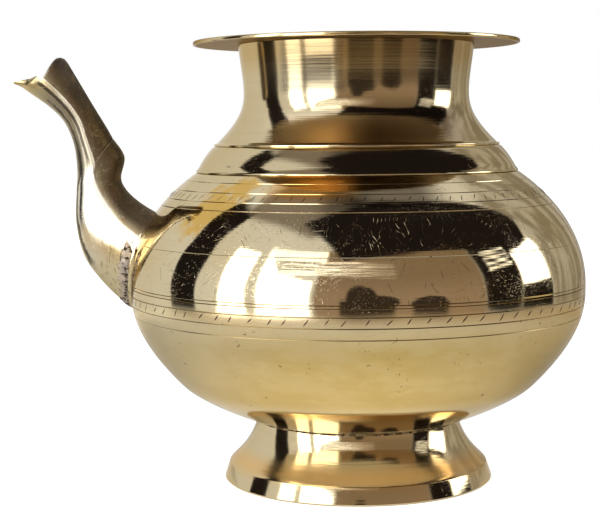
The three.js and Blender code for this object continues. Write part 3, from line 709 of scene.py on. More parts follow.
def inset(line, distance):
    """The line moved to its left, inwards for one that runs up the outside."""
    moved = []
    for i, p in enumerate(line):
        a, b = line[max(i - 1, 0)], line[min(i + 1, len(line) - 1)]
        dx, dz = b[0] - a[0], b[1] - a[1]
        length = math.hypot(dx, dz)
        moved.append((p[0] - dz / length * distance, p[1] + dx / length * distance))
    return moved


def within(line, low, high):
    return [p for p in line if low <= p[1] <= high]


def softened(points, radii):
    """The points with some corners rounded: radii maps an index to a radius."""
    result = []
    for i, p in enumerate(points):
        radius = radii.get(i, 0)
        if not radius:
            result.append(p)
            continue
        corner = Vector(p)
        before, after = Vector(points[i - 1]), Vector(points[(i + 1) % len(points)])
        into = corner + (before - corner).normalized() * min(radius, (before - corner).length * 0.48)
        out = corner + (after - corner).normalized() * min(radius, (after - corner).length * 0.48)
        for k in range(5):
            t = k / 4
            result.append(tuple(into * (1 - t) ** 2 + corner * 2 * t * (1 - t) + out * t * t))
    return result


def tongue(line, wall, low, dip=0.0):
    """The lap of a seam inside the next shell: up its outside and down its inside."""
    outer = within(inset(line, wall + TONGUE_PLAY), low, low + TONGUE)
    inner = within(inset(line, wall + TONGUE_PLAY + TONGUE_WALL), low - dip, low + TONGUE)
    return outer, inner[::-1]


def engraved(line, cuts, sizes):
    """The line with a V cut at each height, as strong as said there, and the bottoms of the cuts."""
    lengths = [0.0]
    for a, b in zip(line, line[1:]):
        lengths.append(lengths[-1] + math.dist(a, b))

    def at(s):
        i = next(k for k in range(len(line) - 1) if lengths[k] <= s <= lengths[k + 1])
        a, b = Vector(line[i]), Vector(line[i + 1])
        return a.lerp(b, (s - lengths[i]) / (lengths[i + 1] - lengths[i])), (b - a).normalized()

    kept, bottoms = list(zip(lengths, line)), []
    for millimetres, strength in cuts.items():
        height = millimetres * MM
        i = next(k for k in range(1, len(line)) if line[k][1] >= height)
        share = (height - line[i - 1][1]) / (line[i][1] - line[i - 1][1])
        centre = lengths[i - 1] + share * (lengths[i] - lengths[i - 1])
        half, down = sizes.line_width * (0.5 + 0.5 * strength), sizes.line_depth * strength
        point, direction = at(centre)
        bottoms.append((point.x - direction.y * down, point.y + direction.x * down))
        kept = [(s, p) for s, p in kept if abs(s - centre) > half * 0.8]
        kept.append((centre, bottoms[-1]))
        beside = [centre + part * half for part in (-0.8, -0.5, 0.5, 0.8)]
        kept += [(s, tuple(at(s)[0])) for s in beside if 0 < s < lengths[-1]]
    return [p for _, p in sorted(kept)], bottoms


def scene_object(name, data):
    made = bpy.data.objects.new(name, data)
    bpy.context.scene.collection.objects.link(made)
    return made


def smooth(mesh, sharp=None):
    """Smooth shading, but for edges that turn by more than sharp degrees."""
    mesh.shade_smooth()
    if sharp:
        mesh.set_sharp_from_angle(angle=math.radians(sharp))


def mesh_object(name, vertices, faces, material, sharp=32.0):
    mesh = bpy.data.meshes.new(name)
    mesh.from_pydata([tuple(v) for v in vertices], [], faces)
    mesh.validate()
    smooth(mesh, sharp)
    mesh.materials.append(material)
    return scene_object(name, mesh)


def set_values(mesh, columns):
    """Stores each named column of numbers on the mesh's points."""
    for name, values in columns.items():
        attribute = mesh.attributes.new(name, "FLOAT", "POINT")
        attribute.data.foreach_set("value", values)


def facing_out(made, sharp=None):
    """Closes small seams and turns the faces outwards."""
    bm = bmesh.new()
    bm.from_mesh(made.data)
    bmesh.ops.remove_doubles(bm, verts=bm.verts, dist=1e-6)
    bmesh.ops.recalc_face_normals(bm, faces=bm.faces)
    bm.to_mesh(made.data)
    bm.free()
    smooth(made.data, sharp)
    return made


def loop_faces(count, size):
    """The faces between closed sections of as many points, the last joined to the first."""
    faces = []
    for i in range(count):
        low, high = i * size, (i + 1) % count * size
        for k in range(size):
            after = (k + 1) % size
            faces.append((low + k, low + after, high + after, high + k))
    return faces


def turned(name, outside, inner, material, grooves=(), wobble=0.00004):
    """A piece turned about the pot's axis: its line runs up the outside and down the inside."""
    turns = bpy.context.scene.pot_sizes.turns
    vertices, rings, values = [], [], {"groove": [], "inside": []}
    for i, (r, z) in enumerate([*outside, *inner]):
        ring = []
        for j in range(turns if r > 0 else 1):
            angle = 2 * math.pi * j / turns
            place = Vector((r * math.cos(angle), r * math.sin(angle), z))
            lift = (noise.noise(place * 42) * 0.5 + 0.5) * wobble
            shrink = 1 - (lift / r if r > 0 else 0)
            ring.append(len(vertices))
            vertices.append((AXIS_X + place.x * shrink, place.y * shrink, z))
        rings.append(ring)
        values["groove"] += [float(any(math.dist((r, z), g) < 1e-6 for g in grooves))] * len(ring)
        values["inside"] += [float(i >= len(outside))] * len(ring)
    if len(rings[0]) > 1 or len(rings[-1]) > 1:
        rings.append(rings[0])
    faces = []
    for low, high in zip(rings, rings[1:]):
        for j in range(turns):
            k = (j + 1) % turns
            corners = (low[j % len(low)], low[k % len(low)], high[k % len(high)], high[j % len(high)])
            faces.append(tuple(dict.fromkeys(corners)))
    made = mesh_object(name, vertices, faces, material)
    set_values(made.data, values)
    return made


def settle(made, *nodes, slot=None):
    """The finished piece rides on the pot, and stands for its solids."""
    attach(made, BODY)
    if nodes:
        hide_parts(*nodes)
    return made


def spline(points, t):
    """A smooth rail through its points, one point a station."""
    last = len(points) - 1
    i = min(int(t), last - 1)
    w = t - i
    p = [points[max(i - 1, 0)], points[i], points[i + 1], points[min(i + 2, last)]]
    v0, v1 = (p[2] - p[0]) / 2, (p[3] - p[1]) / 2
    cubic = p[1] * 2 - p[2] * 2 + v0 + v1
    square = p[2] * 3 - p[1] * 3 - v0 * 2 - v1
    return cubic * w ** 3 + square * w ** 2 + v0 * w + p[1]


def spout_point(pair, sizes):
    return Vector((-sizes.belly_radius - pair[0] * MM, levels(sizes)["belly"] + pair[1] * MM))


def fan(columns):
    """The angles over the spout's arch, from side to side."""
    return [math.pi * j / (columns - 1) for j in range(columns)]


class SpoutSkin:
    """One face of a spout shell: a point for each station and each angle over its arch."""

    def __init__(self, sizes, rail, start, power, lift, narrow, grow):
        self.ridge = [spout_point(p, sizes) for p in RIDGE_RAIL]
        self.apex = [spout_point(p, sizes) for p in rail]
        self.half = [w * MM for w in HALF_WIDTHS]
        self.start, self.power, self.lift, self.narrow, self.grow = start, power, lift, narrow, grow

    def at(self, station, angle):
        ridge = spline(self.ridge, station)
        apex = spline(self.apex, station - self.start)
        half = spline(self.half, station) - self.narrow
        up = (apex - ridge).normalized()
        seat = ridge + up * self.lift
        height = (apex - seat).length
        reach = max(height + self.grow, height * 0.25)
        spread = max(half + self.grow, half * 0.35)
        side = math.cos(angle)
        y = spread * math.copysign(abs(side) ** self.power, side)
        rise = reach * max(math.sin(angle), 0.0) ** self.power
        return Vector((seat.x + up.x * rise + AXIS_X, y, seat.y + up.y * rise))


def spout_skins(sizes, rail, start=0, power=1.0, lift=0.0, narrow=0.0):
    """The outer and the inner face of a shell."""
    return [SpoutSkin(sizes, rail, start, power, lift, narrow, grow) for grow in (0.0, -sizes.spout_wall)]


BELLY_LINE = []


def belly_gap(p):
    """How far a point is outside the belly, measured from the axis."""
    r = math.hypot(p.x - AXIS_X, p.y)
    if BELLY_LINE[0][1] < p.z < BELLY_LINE[-1][1]:
        a, b = next(pair for pair in zip(BELLY_LINE, BELLY_LINE[1:]) if pair[0][1] <= p.z <= pair[1][1])
        t = (p.z - a[1]) / (b[1] - a[1])
        return r - (a[0] + (b[0] - a[0]) * t)
    return r


def crossing(test, low, high):
    """Where the test turns from false to true."""
    for _ in range(26):
        middle = (low + high) / 2
        if test(middle):
            high = middle
        else:
            low = middle
    return (low + high) / 2


def root_stations(skin, columns):
    """For each column, the station at which the skin leaves the belly."""
    return [crossing(lambda s: belly_gap(skin.at(s, angle)) > 0.0, 0.0, 3.2) for angle in fan(columns)]


def past_mouth(sizes, p):
    """True where the point lies beyond the line of the mouth's edge, seen from the side."""
    edge = [spout_point(q, sizes) for q in MOUTH_EDGE]
    left, top = edge[0].x - 0.02, edge[-1].y
    outline = [*edge, Vector((edge[-1].x, top + 0.02)), Vector((left, top + 0.02)), Vector((left, edge[0].y))]
    x, z = p.x - AXIS_X, p.z
    hit = False
    for a, b in zip(outline, outline[1:] + outline[:1]):
        if (a.y > z) != (b.y > z) and x < a.x + (z - a.y) / (b.y - a.y) * (b.x - a.x):
            hit = not hit
    return hit


def shell(name, skins, starts, ends, rows, material):
    """A closed shell between two skins; starts and ends give the stations for each column."""
    columns = len(starts)
    vertices, values = [], {"edge": [], "arch": [], "reach": [], "inside": []}
    for side, skin in enumerate(skins):
        for i in range(rows + 1):
            for j, angle in enumerate(fan(columns)):
                station = starts[j] + (ends[j] - starts[j]) * (i / rows)
                arch = abs(2 * j / (columns - 1) - 1)
                # The edge value is a painted highlight for the covers: full along the side edges, and at the
                # far end strongest at the sides, fading over the top.
                end_highlight = arch * 0.8 if i / rows > 0.985 else 0.0
                vertices.append(skin.at(station, angle))
                values["edge"].append(1.0 if j in (0, columns - 1) else end_highlight)
                values["arch"].append(arch)
                values["reach"].append(station / TIP)
                values["inside"].append(float(side))
    faces, size = [], (rows + 1) * columns
    for i in range(rows):
        for a in range(i * columns, (i + 1) * columns - 1):
            faces.append((a, a + 1, a + columns + 1, a + columns))
            faces.append((size + a, size + a + columns, size + a + columns + 1, size + a + 1))
    edges = [(a, a + columns) for i in range(rows) for a in (i * columns, (i + 1) * columns - 1)]
    edges += [(a, a + 1) for i in (0, rows) for a in range(i * columns, (i + 1) * columns - 1)]
    faces += [(a, b, size + b, size + a) for a, b in edges]
    made = mesh_object(name, vertices, faces, material, 40.0)
    set_values(made.data, values)
    return facing_out(made, 40.0)


def surface_frame(angle, height):
    """A point of the belly and its outward normal."""
    i = next(k for k in range(1, len(BELLY_LINE)) if BELLY_LINE[k][1] >= height)
    a, b = Vector(BELLY_LINE[i - 1]), Vector(BELLY_LINE[i])
    r = a.x + (b.x - a.x) * ((height - a.y) / (b.y - a.y))
    slope = (b - a).normalized()
    s, c = math.sin(angle), math.cos(angle)
    return Vector((AXIS_X + r * s, -r * c, height)), Vector((s, -c, 0)) * slope.y - Vector((0, 0, slope.x))


def cut_object(width, height, steps=8):
    """One chiselled cut a millimetre long, a small boat upside down."""
    vertices, faces = [], [(0, 1, 2), (3 * steps + 2, 3 * steps + 1, 3 * steps)]
    for i in range(steps + 1):
        t = 2 * i / steps - 1
        w = width * (1 - abs(t) ** 2.2) + 1e-6
        profile = ((-w, -0.05 * MM), (w * 0.25, height * (1 - t * t)), (w, -0.05 * MM))
        vertices += [(x, t * 0.5 * MM, z) for x, z in profile]
    for a in range(0, 3 * steps, 3):
        b = a + 3
        faces += [(a, b, b + 1, a + 1), (a + 1, b + 1, b + 2, a + 2), (a + 2, b + 2, b, a)]
    mesh = bpy.data.meshes.new("cut")
    mesh.from_pydata(vertices, [], faces)
    smooth(mesh, 25.0)
    return bpy.data.objects.new("cut", mesh)


def new_tree(name, inputs):
    """A Geometry Nodes tree with one geometry in and out, its other inputs and its start."""
    tree = bpy.data.node_groups.new(name, "GeometryNodeTree")
    tree.interface.new_socket("Geometry", in_out="OUTPUT", socket_type="NodeSocketGeometry")
    for title, kind in {"Geometry": "Geometry", **inputs}.items():
        tree.interface.new_socket(title, in_out="INPUT", socket_type="NodeSocket" + kind)
    nodes = Nodes(tree)
    return tree, nodes, nodes.add("NodeGroupInput", None, None, "Geometry")


def finish_cuts(nodes, start, points, angle, slope, lean, length, width=1.0):
    """Stands a cut on every point, turned to the surface, and ends the tree."""
    source = nodes.add("GeometryNodeObjectInfo", None, {"Object": start.output("Cut")}, "Geometry")
    stand = nodes.add("FunctionNodeEulerToRotation", None, {0: nodes.place(math.pi / 2 - slope, 0.0, angle)})
    spin = nodes.add("FunctionNodeEulerToRotation", None, {0: nodes.place(0.0, 0.0, lean)})
    both = nodes.add("FunctionNodeRotateRotation", {"rotation_space": "LOCAL"}, {0: stand, 1: spin})
    size = nodes.place(width, length, 1.0)
    values = {"Points": points, "Instance": source, "Rotation": both, "Scale": size}
    placed = nodes.add("GeometryNodeInstanceOnPoints", None, values)
    real = nodes.add("GeometryNodeRealizeInstances", None, {0: placed})
    values = {"Geometry": real, "Material": start.output("Material")}
    nodes.end("NodeGroupOutput", nodes.add("GeometryNodeSetMaterial", None, values))


def chance(nodes, seed, offset, low, high):
    """A random number for each point."""
    values = {2: low, 3: high, "Seed": seed + offset}
    return nodes.add("FunctionNodeRandomValue", {"data_type": "FLOAT"}, values, 1)


def border_tree():
    """A border of cuts at one height: as many as asked, evenly round the pot."""
    numbers = ("Radius", "Height", "Slope", "Lean", "Lean spread", "Length", "Length spread")
    tree, n, start = new_tree("border_cuts", {
        "Cut": "Object", "Count": "Int", "Seed": "Int", "Material": "Material",
        **dict.fromkeys(numbers, "Float"),
    })
    radius, height, slope, lean, lean_spread, length, length_spread = map(start.output, numbers)
    count, seed = start.output("Count"), start.output("Seed")
    index = n.add("GeometryNodeInputIndex")
    angle = (index + chance(n, seed, 1.0, -0.16, 0.16)) * (2 * math.pi / count)
    drift = chance(n, seed, 2.0, -0.00025, 0.00025)
    out = radius - drift * slope.tangent()
    place = n.place(AXIS_X + out * angle.sine(), 0.0 - out * angle.cosine(), height + drift)
    points = n.add("GeometryNodePoints", None, {"Count": count, "Position": place})
    lean = lean + chance(n, seed, 3.0, -1.0, 1.0) * lean_spread
    length = length * (1.0 - chance(n, seed, 4.0, 0.0, 1.0) * length_spread)
    finish_cuts(n, start, points, angle, slope, lean, length)
    return tree


STROKE_VALUES = ("angle", "slope", "lean", "length", "width")


def stroke_tree():
    """Cuts at given points, each with its own angle, slope, lean and length."""
    tree, n, start = new_tree("stroke_cuts", {"Cut": "Object", "Seed": "Int", "Material": "Material"})
    angle, slope, lean, length, width = (
        n.add("GeometryNodeInputNamedAttribute", {"data_type": "FLOAT"}, {"Name": key})
        for key in STROKE_VALUES
    )
    length = length * chance(n, start.output("Seed"), 1.0, 0.88, 1.1)
    points = n.add("GeometryNodeMeshToPoints", None, {"Mesh": start})
    finish_cuts(n, start, points, angle, slope, lean, length, width)
    return tree


def grown(mesh, tree, values):
    """The plain mesh that the tree makes of the mesh."""
    holder = scene_object(mesh.name, mesh)
    modifier = holder.modifiers.new("grow", "NODES")
    modifier.node_group = tree
    for item in tree.interface.items_tree:
        if item.in_out == "INPUT" and item.name in values:
            modifier[item.identifier] = values[item.name]
    graph = bpy.context.evaluated_depsgraph_get()
    result = bpy.data.meshes.new_from_object(holder.evaluated_get(graph))
    holder.modifiers.clear()
    holder.data = result
    return holder


class POT_OT_rim(bpy.types.Operator):
    """Make the flat rim on the neck's end"""

    bl_idname = "pot.rim"
    bl_label = "Rim"

    def execute(self, context):
        s = context.scene.pot_sizes
        low = levels(s)["rim"]
        high = low + s.rim_thickness
        bore = s.neck_top - s.wall
        width = s.rim_radius - bore
        droop = 0.12 * MM
        under = [(bore + width * k / 14, low + droop * math.sin(math.pi * k / 14)) for k in range(14)]
        top = [(s.rim_radius - width * k / 8, high) for k in range(1, 8)]
        outline = [under[-1], (s.rim_radius, low), (s.rim_radius, high), *top, (bore, high), under[0]]
        rounded = softened(outline, {1: 0.45 * MM, 2: 0.6 * MM, len(outline) - 2: 0.5 * MM})[1:-1]
        settle(turned("rim_plate", rounded, under, rim_brass()), "rim", slot="turned_brass")
        return {"FINISHED"}


class POT_OT_neck(bpy.types.Operator):
    """Make the waisted neck with its collar and turned step"""

    bl_idname = "pot.neck"
    bl_label = "Neck"

    def execute(self, context):
        s = context.scene.pot_sizes
        at = levels(s)
        lip, step = (s.collar_radius, at["collar"]), (s.step_radius, at["step"])
        collar, neck = collar_line(s), neck_line(s)
        outside = [
            off(lip, -0.5, 0), off(lip, 0.25, 0.15), off(lip, 0.1, 0.75), *collar[2:-1],
            off(step, 0, -0.45), off(step, 0.25, -0.1), off(step, 0.2, 0.45), *neck,
        ]
        ledge = len(collar) + 1
        outside = softened(outside, {1: 0.3 * MM, 2: 0.3 * MM, ledge: 0.25 * MM, ledge + 1: 0.3 * MM})
        inner = within(inset([*collar, *neck[1:]], s.wall), at["collar"], at["rim"] - 0.05 * MM)
        inner.append((s.neck_top - s.wall, at["rim"]))
        made = turned("neck_shell", outside, inner[::-1], turned_brass(), outside[:1])
        settle(made, "neck", slot="turned_brass")
        return {"FINISHED"}


class POT_OT_belly(bpy.types.Operator):
    """Make the two shells of the belly, with their engraved lines"""

    bl_idname = "pot.belly"
    bl_label = "Belly"

    def execute(self, context):
        s = context.scene.pot_sizes
        self.shoulder(s, levels(s))
        self.bowl(s, levels(s))
        return {"FINISHED"}

    def shoulder(self, s, at):
        widest, line = (s.belly_radius, at["belly"]), shoulder_line(s)
        cuts, bottoms = engraved(line, SHOULDER_LINES, s)
        cuts = [p for p in cuts if p[1] > at["belly"] + SEAM_EDGE]
        lap, lap_inside = tongue(collar_line(s, 24), s.wall, at["collar"], 1.5 * MM)
        outside = [off(widest, -0.2, 0), off(widest, 0, 0.18), *cuts, *lap]
        inner = [*lap_inside, *within(inset(line, s.wall), at["belly"], at["collar"])[::-1]]
        made = turned("shoulder_shell", outside, inner, polished_brass(), [*bottoms, outside[0]])
        settle(made, "shoulder", slot="polished_brass")

    def bowl(self, s, at):
        widest, line = (s.belly_radius, at["belly"]), bowl_line(s)
        cuts, bottoms = engraved(line, BOWL_LINES, s)
        cuts = [p for p in cuts if p[1] < at["belly"] - SEAM_EDGE]
        under = [(s.foot_neck * k / 20, at["foot"] - s.bottom_sag * (1 - (k / 20) ** 2)) for k in range(20)]
        outside = [*under, *cuts, off(widest, 0, -0.18), off(widest, -0.25, 0)]
        lap, lap_inside = tongue(shoulder_line(s), s.wall, at["belly"])
        wall = within(inset(line, s.wall), 0.0, at["belly"] - SEAM_EDGE)
        floor = [(r, z + s.wall) for r, z in under]
        inner = [*lap, *lap_inside, *wall[::-1], *floor[::-1]]
        made = turned("bowl_shell", outside, inner, bowl_brass(), [*bottoms, outside[-1]])
        settle(made, "bowl", slot="polished_brass")


class POT_OT_foot(bpy.types.Operator):
    """Make the hollow flared foot with its bevelled band"""

    bl_idname = "pot.foot"
    bl_label = "Foot"

    def execute(self, context):
        s = context.scene.pot_sizes
        flare = foot_line(s)
        ground, edge = (s.foot_base, 0.0), (s.foot_edge, s.foot_band)
        outline = [off(ground, -0.6, 0), off(ground, 0, 0.55), edge, *flare[1:]]
        outside = softened(outline, {1: 0.25 * MM, 2: 0.12 * MM})
        inner = within(inset(flare, FOOT_WALL), s.foot_band, s.foot_height - 1.6 * MM)
        inner = [
            off(ground, -2.6, 0), (s.foot_edge - 1.9 * MM, s.foot_band * 0.8), *inner[1:],
            (s.foot_neck - FOOT_WALL, s.foot_height - 1.2 * MM),
        ]
        settle(turned("foot_shell", outside, inner[::-1], foot_brass()), "foot", slot="turned_brass")
        return {"FINISHED"}


class POT_OT_spout(bpy.types.Operator):
    """Make the spout's polished trough and its two dull covers"""

    bl_idname = "pot.spout"
    bl_label = "Spout"

    def execute(self, context):
        s = context.scene.pot_sizes
        skins = spout_skins(s, UNDER_RAIL)
        starts = root_stations(skins[0], COLUMNS)
        made = shell("spout_trough_shell", skins, starts, [float(TIP)] * COLUMNS, 150, spout_brass())
        settle(made, "spout_trough", slot="spout_brass")
        skins = spout_skins(s, ELBOW_RAIL, lift=COVER_LIFT, narrow=s.ledge)
        starts = root_stations(skins[0], COLUMNS)
        made = shell("spout_elbow_sheet", skins, starts, [float(KNUCKLE)] * COLUMNS, 90, dull_brass())
        settle(made, "spout_elbow_cover", slot="dull_brass")
        skins = spout_skins(s, BEAK_RAIL, KNUCKLE, 1.25, COVER_LIFT, s.ledge)
        ends = [
            crossing(lambda t: past_mouth(s, skins[0].at(t, angle)), NOTCH - 1.5, NOTCH + 0.0)
            for angle in fan(COLUMNS)
        ]
        made = shell("spout_beak_sheet", skins, [KNUCKLE + 0.004] * COLUMNS, ends, 90, dull_brass())
        settle(made, "spout_beak_cover", slot="dull_brass")
        return {"FINISHED"}


class POT_OT_solder(bpy.types.Operator):
    """Make the solder at the spout's root and the brazed rings"""

    bl_idname = "pot.solder"
    bl_label = "Solder and braze"

    def execute(self, context):
        s = context.scene.pot_sizes
        at = levels(s)
        solder = rough_solder("root_solder", context.scene.pot_finish.solder, 0.4)
        braze = rough_solder("ring_braze", (0.3, 0.22, 0.12), 0.47)
        path = self.root_path(s)
        self.band("spout_root_solder", path, BEAD, BEAD_SINK, 0.7, solder, "braze")
        self.band("spout_root_flange", path, FLANGE, FLANGE_SINK, 0.12, spout_brass(), "spout_brass")
        bead = min(inset(shoulder_line(s), s.wall), key=lambda p: abs(p[1] - at["belly"] - 5 * MM))
        for node, radius, height, thickness, rough in (
            ("foot_braze", s.foot_neck + 0.1 * MM, at["foot"] - 0.05 * MM, 0.42, 0.22),
            ("belly_braze", bead[0] - 0.7 * MM, at["belly"] + BEAD_RISE, 0.6, 0.15),
            ("neck_braze", COLLAR_BEAD, at["collar"] + BEAD_RISE, 0.6, 0.15),
        ):
            made = self.ring(node + "_ring", radius, height, thickness * MM, rough * MM, braze)
            settle(made, node, slot="braze")
        return {"FINISHED"}

    def root_path(self, s):
        """Round the spout's root: a place, the ways along and off the spout, and 0 over the cover."""
        path, last = [], ROOT_COLUMNS - 1
        for rail in (UNDER_RAIL, ELBOW_RAIL):
            skin = spout_skins(s, rail)[0]
            places = []
            for j, (angle, station) in enumerate(zip(fan(ROOT_COLUMNS), root_stations(skin, ROOT_COLUMNS))):
                base = skin.at(station, angle)
                along = (skin.at(station + 0.5, angle) - base).normalized()
                near = 1e-3 if j < last else -1e-3
                side = (skin.at(station, angle + near) - base) * (1 if near > 0 else -1)
                out = side.cross(along).normalized()
                axis = (spline(skin.ridge, station) + spline(skin.apex, station)) / 2
                if out.dot(base - Vector((axis.x + AXIS_X, 0, axis.y))) < 0:
                    out = -out
                bare = min(min(j, last - j) / 6, 1.0) if rail is UNDER_RAIL else 0.0
                places.append((base, along, out, bare))
            path += places if rail is UNDER_RAIL else places[::-1][1:-1]
        return path

    def band(self, name, path, profile, sink, rough, material, slot):
        """A closed band of metal round the root, sunk where it passes over the cover."""
        vertices = []
        for base, along, out, bare in path:
            for a, h in profile:
                place = base + along * (a * MM) + out * ((h - sink * (1 - bare)) * MM)
                lump, slide = noise.noise(place * 900), noise.noise(place * 500 + Vector((3, 5, 7)))
                vertices.append(place + out * lump * rough * MM + along * slide * rough * MM)
        made = mesh_object(name, vertices, loop_faces(len(path), len(profile)), material, 50.0)
        settle(facing_out(made), "spout_braze", slot=slot)

    def ring(self, name, radius, height, thickness, rough, material, turns=900, sides=10):
        vertices = []
        for i in range(turns):
            angle = 2 * math.pi * i / turns
            out = Vector((math.cos(angle), math.sin(angle), 0))
            place = Vector((AXIS_X, 0, height)) + out * radius
            for k in range(sides):
                tilt = 2 * math.pi * k / sides
                way = out * math.cos(tilt) + Vector((0, 0, 1)) * math.sin(tilt)
                broad, fine = noise.noise(place * 420 + way * 1.5), noise.noise(place * 1300 + way * 2)
                vertices.append(place + way * (thickness * 0.8 + (broad * rough + fine * rough * 0.6)))
        faces = [(a, d, c, b) for a, b, c, d in loop_faces(turns, sides)]
        return facing_out(mesh_object(name, vertices, faces, material, 80.0))


class POT_OT_engraving(bpy.types.Operator):
    """Chisel the two borders and the frieze between them"""

    bl_idname = "pot.engraving"
    bl_label = "Engraving"

    def execute(self, context):
        s = context.scene.pot_sizes
        dark, bare = cut_brass("border_cut", 0.95), cut_brass("frieze_cut", 0.8, 0.25)
        border, strokes = border_tree(), stroke_tree()
        for name, height, count, lean, spread, length, share, seed, width in (
            ("shoulder_border", 114.6, s.upper_cuts, -24.0, 14.0, 3.3, 0.1, 4, 0.25),
            ("bowl_border", 73.3, s.lower_cuts, -41.0, 9.0, 3.5, 0.25, 9, 0.33),
        ):
            place, out = surface_frame(0.0, height * MM)
            values = {
                "Cut": cut_object(width * MM, BORDER_RISE), "Count": count, "Radius": -place.y,
                "Height": height * MM, "Slope": math.asin(out.z), "Lean": math.radians(lean),
                "Lean spread": math.radians(spread), "Length": length, "Length spread": share, "Seed": seed,
                "Material": dark,
            }
            settle(grown(bpy.data.meshes.new(name), border, values), slot="polished_brass")
        values = {"Cut": cut_object(0.17 * MM, STROKE_RISE), "Seed": 3, "Material": bare}
        settle(grown(self.stroke_points(), strokes, values), slot="polished_brass")
        return {"FINISHED"}

    def stroke_points(self):
        """The frieze, cut on the front and again, turned round, on the back, with a tangle of fine cuts."""
        rows = list(STROKES)
        for k in range(90):
            wide, high, lean = (noise.noise(Vector((k * 1.7, 5.0 * i, 0.5))) for i in (1, 2, 3))
            rows.append((1.0 + 24.0 * wide, 101.0 + 12.0 * high, 75.0 * lean, 2.2 + 2.0 * high, 0.55))
        places, table = [], []
        for half in FRIEZE_TURNS:
            for angle, height, lean, length, width in rows:
                turned_angle = math.radians(angle + half)
                place, out = surface_frame(turned_angle, height * MM)
                if place.x > FRIEZE_END:
                    places.append(place - out * STROKE_SINK)
                    table.append((turned_angle, math.asin(out.z), math.radians(lean), length, width))
        mesh = bpy.data.meshes.new("frieze_strokes")
        mesh.from_pydata(places, [], [])
        set_values(mesh, dict(zip(STROKE_VALUES, map(list, zip(*table)))))
        return mesh


